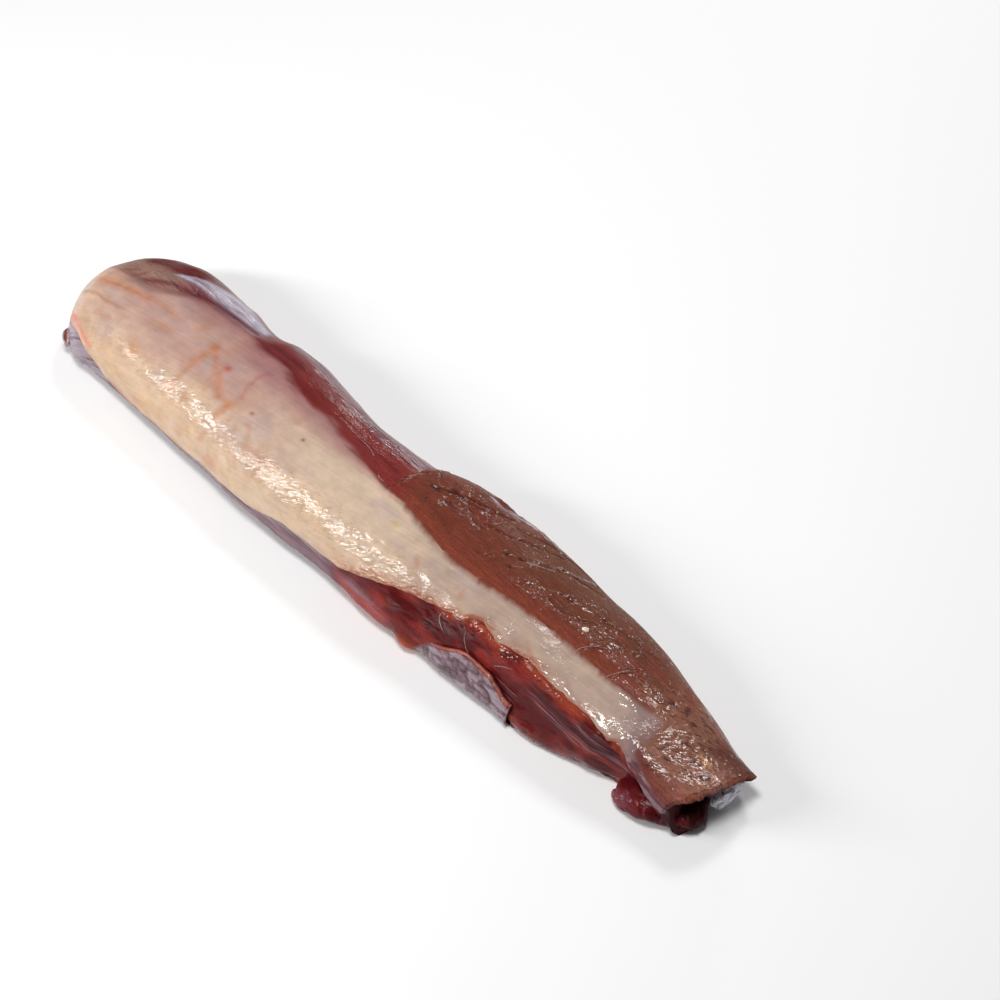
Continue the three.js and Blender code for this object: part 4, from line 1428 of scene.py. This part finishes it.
def make_brown_muscle():
    """The brown muscle right of the strip, whose near end is the slab over the cut end."""
    u, v = np.meshgrid(spread(BROWN_ROWS, 0.003), spread(BROWN_COLUMNS), indexing="ij")
    rough_t = 9 + 55 * v
    x_from = brown_front(rough_t) + 0.8 * fractal(rough_t / 4, 0 * rough_t, 22)
    x_to = near_end(-28 + 78 * v) + 0.9 * fractal(v * 14, 0 * v, 23) + 0.5 * fractal(v * 50, 0 * v, 24)
    x = x_from + (x_to - x_from) * u
    t_from = brown_left(x)
    t_to = widest_arc(x) + 4
    t = t_from + (t_to - t_from) * v
    front, left = x - x_from, t - t_from
    drop = 0.45 * step(2.2, 0, front) + 0.2 * step(1.5, 0, left) * step(175, 165, x)
    drop = drop + 1.2 * step(2.0, 0, left) * step(165, 175, x) + 1.0 * step(0.8, 0, x_to - x)
    drop = drop + 2.0 * step(5, 0, t_to - t)
    thickness = BROWN_SHEET - 1.0 * step(180, 200, x) * step(0, -10, t)
    crumple = brown_crumple(x, t)
    wet = 0.04 + 0.96 * step(0.3, 0.9, crumple)
    return make_sheet("brown_muscle", x, t, brown_top(x, t) - drop, thickness, brown_colour(x, t),
                      crumple, filled(UNDERSIDE_DARK, x), wet)


def make_flap():
    """The thin flap that stands off the dark side on the left."""
    u, v = np.meshgrid(spread(FLAP_ROWS, 0.008), spread(FLAP_COLUMNS, 0.012), indexing="ij")
    x = FLAP_FROM + (FLAP_TO + 1.5 * (v - 0.5) - FLAP_FROM) * u
    rim = flap_rim(x) + 0.5 * fractal(x / 4, 0 * x, 173)
    t = rim + (FLAP_FOOT - rim) * (1 - v)
    veins, fine = flap_wrinkles(x, t)
    wrinkles = 0.5 * (veins - 0.3) + 0.25 * fine
    stand = 2.3 * step(0, 18, x - FLAP_FROM) * step(FLAP_FOOT, -48, t)
    rounded = 0.8 * step(0.9, 0, rim - t) + 0.8 * step(0.8, 0, x - FLAP_FROM)
    rounded = rounded + 0.5 * step(0.7, 0, FLAP_TO - x)
    top = left_side(x, t) + stand + 0.5 + wrinkles * step(0.5, 3, rim - t) - rounded
    puckered = np.full(x.shape, 0.8)
    return make_sheet("flap", x, t, top, FLAP_SHEET, flap_colour(x, t), puckered, filled(DARK_RED, x))


def make_lump(name, at, half, turn, rough, kind):
    """A closed rounded lump of flesh with an uneven skin, from its half sizes and its turn about Z."""
    shape = bmesh.new()
    bmesh.ops.create_icosphere(shape, subdivisions=LUMP_DETAIL, radius=1.0)
    round_points = np.array([corner.co[:] for corner in shape.verts])
    faces = [tuple(corner.index for corner in face.verts) for face in shape.faces]
    shape.free()
    x, y, z = (round_points * half).T
    pimples = fractal(x / 1.8 + z / 3, y / 1.8 - z / 3, 192)
    uneven = fractal(x / 6 + z / 8, y / 6 - z / 7, 191) + 0.15 * pimples
    placed = round_points * half * (1 - 0.12 * rough * (1 - uneven))[:, None]
    cosine, sine = math.cos(turn), math.sin(turn)
    x = placed[:, 0] * cosine - placed[:, 1] * sine + at[0]
    y = placed[:, 0] * sine + placed[:, 1] * cosine + at[1]
    z = np.maximum(placed[:, 2] + at[2], 0)
    points = np.stack([x + SHIFT_X, y + SHIFT_Y, z], -1) * MM
    grain = np.stack([x, y + z, z], -1)
    colour_of, puckered, wet = LUMP_KINDS[kind]
    wide = fractal(x / 5 + z / 7, y / 5 - z / 6, 181)
    small = fractal(x / 2 + z / 3, y / 2 - z / 3, 182)
    return add_mesh(name, points, faces, colour_of(x, y, z, wide, small), grain, puckered, wet)


def make_thread(name, thickness, places):
    """A closed tube of tissue that runs through places over the loin."""
    along_it = np.linspace(0, 1, THREAD_POINTS)
    x, t, rise = (stations([place[k] for place in places], along_it) for k in range(3))
    middle = surface(x, t, muscle_relief(x, t) + brown_step(x, t) + rise)
    ahead = np.gradient(middle, axis=0)
    ahead /= np.linalg.norm(ahead, axis=1)[:, None]
    side = np.cross(ahead, (0.0, 0.0, 1.0))
    side /= np.linalg.norm(side, axis=1)[:, None]
    up = np.cross(side, ahead)
    turns = np.linspace(0, 2 * np.pi, THREAD_SIDES, endpoint=False)[:, None]
    beads = 0.75 + 0.6 * fractal(x / 1.6 + t / 1.3, 0 * x, 231, 2)
    taper = 0.5 + 0.5 * np.sin(np.linspace(0, np.pi, THREAD_POINTS))
    radius = (thickness * beads * taper * MM)[:, None, None]
    ring = side[:, None] * np.cos(turns) + up[:, None] * np.sin(turns)
    points = np.concatenate([(middle[:, None] + ring * radius).reshape(-1, 3), middle[:1], middle[-1:]])
    faces = grid_faces(THREAD_POINTS, THREAD_SIDES, closed=True)
    first, last = len(points) - 2, len(points) - 1
    last_ring = (THREAD_POINTS - 1) * THREAD_SIDES
    for k in range(THREAD_SIDES):
        after = (k + 1) % THREAD_SIDES
        faces.append((first, k, after))
        faces.append((last, last_ring + after, last_ring + k))
    return add_mesh(name, points, faces, filled(THREAD_PALE, points[:, 0]), points / MM, 0.0, 0.8)


# Materials

def new_material(name):
    """An empty node material."""
    material = bpy.data.materials.new(name)
    material.use_nodes = True
    material.node_tree.nodes.clear()
    return material, material.node_tree


def add_node(tree, kind, inputs=None, **settings):
    """A shader node with its settings, and its inputs as values or as links."""
    made = tree.nodes.new(kind)
    for key, value in settings.items():
        setattr(made, key, value)
    for key, value in (inputs or {}).items():
        if isinstance(value, bpy.types.NodeSocket):
            tree.links.new(value, made.inputs[key])
        else:
            made.inputs[key].default_value = value
    return made


def attribute(tree, name, output):
    """One of the mesh's own attributes."""
    return add_node(tree, "ShaderNodeAttribute", attribute_name=name).outputs[output]


def grain_noise(tree, grain, scale, detail=3.0, rough=0.55, turn=0.0):
    """Noise stretched along the grain, with scale cells a millimetre along and across it. The turn is
    the angle in radians from the loin's length to the grain."""
    stretch = {"Vector": grain, "Scale": (1 / scale[0], 1 / scale[1], 1.0), "Rotation": (0, 0, turn)}
    mapped = add_node(tree, "ShaderNodeMapping", stretch, vector_type="TEXTURE")
    made = add_node(tree, "ShaderNodeTexNoise",
                    {"Vector": mapped.outputs[0], "Scale": 1.0, "Detail": detail, "Roughness": rough})
    return made.outputs["Fac"]


def ramp(tree, value, low, high, to_low=0.0, to_high=1.0):
    """The value's range low to high stretched to another range."""
    return add_node(tree, "ShaderNodeMapRange",
                    {0: value, 1: low, 2: high, 3: to_low, 4: to_high}).outputs[0]


def combine(tree, operation, a, b):
    """Two values combined by an operation."""
    return add_node(tree, "ShaderNodeMath", {0: a, 1: b}, operation=operation).outputs[0]


def product(tree, *values):
    """All the values multiplied."""
    result = values[0]
    for value in values[1:]:
        result = combine(tree, "MULTIPLY", result, value)
    return result


def scaled_colour(tree, colour, factor):
    """A colour made lighter or darker by a factor."""
    return add_node(tree, "ShaderNodeVectorMath", {0: colour, 3: factor}, operation="SCALE").outputs[0]


def tinted(tree, colour, tint, share):
    """The colour with a tint laid over it where the share is 1."""
    inputs = {0: share, 6: colour, 7: (*tint, 1)}
    return add_node(tree, "ShaderNodeMix", inputs, data_type="RGBA").outputs[2]


def tone_of(tree, *noises):
    """A factor for lightness from noises, each with its low and high value and the factors there."""
    return product(tree, *[ramp(tree, *noise_and_ranges) for noise_and_ranges in noises])


def wet_shader(tree, base, rough, height, depth, settings):
    """Principled shader with a wet film over it, both bumped by the height."""
    bumped = add_node(tree, "ShaderNodeBump", {"Height": height, "Distance": depth, "Strength": 1.0})
    inputs = {"Base Color": base, "Roughness": rough, "Normal": bumped.outputs[0],
              "Coat Normal": bumped.outputs[0], "Coat Weight": 1.0, "Coat IOR": 1.36,
              "Specular IOR Level": 0.03}
    inputs.update(settings)
    shader = add_node(tree, "ShaderNodeBsdfPrincipled", inputs)
    add_node(tree, "ShaderNodeOutputMaterial", {"Surface": shader.outputs[0]})


def muscle_base(tree, grain, fibre, mottle, strand, puckers, strands, crumple):
    """Painted colour with fibres, mottling and speckles, pale strands with painted sheen, painted shade
    between the strands and painted shade in the pucker hollows.
    """
    fine_fibre = grain_noise(tree, grain, (0.16, 3.2), turn=0.06)
    speckle = grain_noise(tree, grain, (0.9, 1.3), detail=2.0)
    tone = tone_of(tree, (fibre, 0.3, 0.7, 0.78, 1.22), (fine_fibre, 0.3, 0.7, 0.84, 1.16),
                   (speckle, 0.35, 0.7, 0.86, 1.24), (mottle, 0.25, 0.75, 0.88, 1.12))
    base = scaled_colour(tree, attribute(tree, "paint", "Color"), tone)
    # Painted shade in the gaps between strands, and pale strands partly painted sheen.
    gap_shade = product(tree, strands, ramp(tree, strand, 0.48, 0.40, 0, 0.7))
    pale = product(tree, strands, ramp(tree, strand, 0.50, 0.66, 0, 0.65))
    # Painted shade in the hollows of the puckers.
    pucker_shade = product(tree, crumple, ramp(tree, puckers, 0.47, 0.36, 0, 0.7))
    base = tinted(tree, base, STRAND_GAP_SHADE, gap_shade)
    base = tinted(tree, base, STRAND_PALE_AND_SHEEN, pale)
    return tinted(tree, base, PUCKER_HOLLOW_SHADE, pucker_shade)


def muscle_material(name, pucker_scale, drop_wetness):
    """Wet muscle: painted regions with fibres, mottling, fine pits and puckers under a wet film."""
    material, tree = new_material(name)
    grain = attribute(tree, "grain", "Vector")
    strands, crumple = attribute(tree, "strands", "Fac"), attribute(tree, "crumple", "Fac")
    fibre = grain_noise(tree, grain, (0.07, 1.1))
    mottle = grain_noise(tree, grain, (0.22, 0.30))
    strand = grain_noise(tree, grain, (0.038, 0.95), detail=2.0, rough=0.6, turn=-0.05)
    pits = grain_noise(tree, grain, (0.45, 0.75), detail=1.5, rough=0.5)
    puckers = grain_noise(tree, grain, pucker_scale, detail=1.0, rough=0.5, turn=0.5)
    base = muscle_base(tree, grain, fibre, mottle, strand, puckers, strands, crumple)
    height = combine(tree, "ADD", product(tree, pits, 0.3), product(tree, fibre, 0.2))
    height = combine(tree, "ADD", height, product(tree, puckers, crumple, 0.9))
    height = combine(tree, "ADD", height, product(tree, strand, strands, 0.7))
    drops = ramp(tree, grain_noise(tree, grain, (0.5, 0.9), detail=1.0), 0.60, 0.66, 0, drop_wetness)
    wet = combine(tree, "MAXIMUM", attribute(tree, "wet", "Fac"), drops)
    rough = ramp(tree, mottle, 0.3, 0.7, 0.44, 0.56)
    wet_shader(tree, base, rough, height, MUSCLE_BUMP, {
        "Coat Weight": wet, "Coat Roughness": 0.05, "Coat IOR": 1.46, "Subsurface Weight": 0.2,
        "Subsurface Radius": (1.0, 0.3, 0.2), "Subsurface Scale": 0.0014})
    return material


def silverskin_material():
    """Silverskin: smooth wet tissue with hairlines along it, short wrinkles across it and painted shade in
    its puckers' valleys.
    """
    material, tree = new_material("wet_silverskin")
    paint, grain = attribute(tree, "paint", "Color"), attribute(tree, "grain", "Vector")
    strands, crumple = attribute(tree, "strands", "Fac"), attribute(tree, "crumple", "Fac")
    hair = grain_noise(tree, grain, (0.03, 0.8), detail=4.0, turn=0.13)
    cross = grain_noise(tree, grain, (0.28, 0.06), detail=2.0, turn=-0.2)
    mottle = grain_noise(tree, grain, (0.10, 0.16), detail=4.0)
    torn = grain_noise(tree, grain, (0.30, 0.75), detail=3.0, rough=0.6, turn=0.35)
    ticks = grain_noise(tree, grain, (0.42, 0.13), detail=2.0, rough=0.6, turn=-0.12)
    puckers = grain_noise(tree, grain, (0.24, 0.58), detail=2.0, rough=0.55, turn=0.45)
    tone = tone_of(tree, (hair, 0.3, 0.7, 0.93, 1.05), (cross, 0.3, 0.7, 0.98, 1.02),
                   (mottle, 0.3, 0.7, 0.87, 1.09))
    base = scaled_colour(tree, paint, tone)
    base = tinted(tree, base, TORN_ORANGE, product(tree, strands, ramp(tree, torn, 0.40, 0.54, 0, 0.9)))
    # Painted shade in the valleys of the puckers.
    base = tinted(tree, base, PUCKER_VALLEY_SHADE, product(tree, crumple, ramp(tree, puckers, 0.46, 0.34, 0, 0.5)))
    height = combine(tree, "ADD", product(tree, ticks, 0.25), product(tree, hair, 0.06))
    height = combine(tree, "ADD", height, product(tree, puckers, crumple, 0.8))
    rough = ramp(tree, mottle, 0.3, 0.7, 0.36, 0.48)
    wet_shader(tree, base, rough, height, SKIN_BUMP, {
        "Coat Weight": attribute(tree, "wet", "Fac"), "Coat Roughness": 0.03, "Coat IOR": 1.5,
        "Subsurface Weight": 0.3, "Subsurface Radius": (1.0, 0.5, 0.35), "Subsurface Scale": 0.0012})
    return material


def membrane_material():
    """Thin wrinkled membrane, less wet than the muscle, with painted shade in its folds' valleys and
    painted light on their ridges.
    """
    material, tree = new_material("thin_membrane")
    paint, grain = attribute(tree, "paint", "Color"), attribute(tree, "grain", "Vector")
    folds = grain_noise(tree, grain, (0.25, 0.8), detail=3.0)
    mottle = grain_noise(tree, grain, (0.5, 0.6))
    # The folds' tone is painted shade in their valleys and painted light on their ridges.
    tone = tone_of(tree, (folds, 0.3, 0.7, 0.75, 1.2), (mottle, 0.3, 0.7, 0.9, 1.1))
    rough = ramp(tree, mottle, 0.3, 0.7, 0.38, 0.52)
    wet_shader(tree, scaled_colour(tree, paint, tone), rough, folds, MEMBRANE_BUMP, {
        "Coat Roughness": 0.13, "Subsurface Weight": 0.2, "Subsurface Radius": (1.0, 0.6, 0.5),
        "Subsurface Scale": 0.001})
    return material


def floor_material():
    """Plain pale floor."""
    material, tree = new_material("pale_floor")
    cloud = add_node(tree, "ShaderNodeTexNoise", {"Scale": 3.0, "Detail": 2.0}).outputs["Fac"]
    tone = ramp(tree, cloud, 0.2, 0.8, 0.90, 0.93)
    shader = add_node(tree, "ShaderNodeBsdfPrincipled",
                      {"Base Color": tone, "Roughness": 0.7, "Specular IOR Level": 0.1})
    add_node(tree, "ShaderNodeOutputMaterial", {"Surface": shader.outputs[0]})
    return material


# Studio

def toward(azimuth, elevation):
    """Unit vector at an azimuth from +X and an elevation, in radians."""
    return Vector((math.cos(azimuth) * math.cos(elevation), math.sin(azimuth) * math.cos(elevation),
                   math.sin(elevation)))


def make_camera():
    """Camera at the photograph's viewing angle."""
    data = bpy.data.cameras.new("camera")
    data.lens = CAMERA_LENS
    data.sensor_width = CAMERA_SENSOR
    data.clip_end = CAMERA_REACH
    camera = bpy.data.objects.new("camera", data)
    bpy.context.scene.collection.objects.link(camera)
    back = toward(CAMERA_AZIMUTH, CAMERA_ELEVATION)
    camera.location = CAMERA_TARGET + back * CAMERA_DISTANCE
    camera.rotation_euler = (-back).to_track_quat("-Z", "Y").to_euler()
    bpy.context.scene.camera = camera


def softbox(name, azimuth, elevation, distance, size, power, roll):
    """A rectangular area light that faces the loin, turned by roll degrees in its own plane, and isn't
    seen by the camera."""
    data = bpy.data.lights.new(name, "AREA")
    data.shape = "RECTANGLE"
    data.size, data.size_y = size
    data.energy = power
    light = bpy.data.objects.new(name, data)
    bpy.context.scene.collection.objects.link(light)
    away = toward(math.radians(azimuth), math.radians(elevation))
    light.location = away * distance
    facing = (-away).to_track_quat("-Z", "Y") @ Quaternion((0, 0, 1), math.radians(roll))
    light.rotation_euler = facing.to_euler()
    light.visible_camera = False


def make_studio():
    """Pale floor, pale surroundings and soft lights on the left, behind and above."""
    world = bpy.data.worlds.new("surroundings")
    world.use_nodes = True
    background = world.node_tree.nodes["Background"]
    background.inputs["Color"].default_value = (1.0, 1.0, 1.0, 1)
    background.inputs["Strength"].default_value = WORLD_STRENGTH
    bpy.context.scene.world = world
    for light in LIGHTS:
        softbox(*light)
    bpy.ops.mesh.primitive_plane_add(size=FLOOR_SIZE, location=(0, 0, -FLOOR_GAP))
    floor = bpy.context.object
    floor.name = "floor"
    floor.data.materials.append(floor_material())
    bpy.context.scene.view_settings.view_transform = "Standard"


def finish_piece(piece, material, slot):
    """Gives a piece its material and lets it ride on the loin's body. The slot is not used."""
    piece.data.materials.clear()
    piece.data.materials.append(material)
    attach(piece, "root")


make_camera()
make_studio()
red_look = muscle_material("wet_red_muscle", pucker_scale=(0.3, 0.6), drop_wetness=0.2)
brown_look = muscle_material("wet_brown_muscle", pucker_scale=(0.26, 0.6), drop_wetness=0.7)
silverskin_look, membrane_look = silverskin_material(), membrane_material()
muscle = make_muscle()
finish_piece(muscle, red_look, "muscle")
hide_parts("backstrap")
finish_piece(make_silverskin(), silverskin_look, "silverskin")
finish_piece(make_brown_muscle(), brown_look, "muscle")
finish_piece(make_flap(), membrane_look, "membrane")
flesh_look, film_look = (red_look, "muscle"), (membrane_look, "membrane")
lump_looks = {"film": film_look, "pale_film": film_look, "fat": (red_look, "fat")}
for lump in LUMPS:
    finish_piece(make_lump(*lump), *lump_looks.get(lump[-1], flesh_look))
for number, (thickness, places) in enumerate(THREADS):
    finish_piece(make_thread(f"thread_{number + 1}", thickness, places), *film_look)
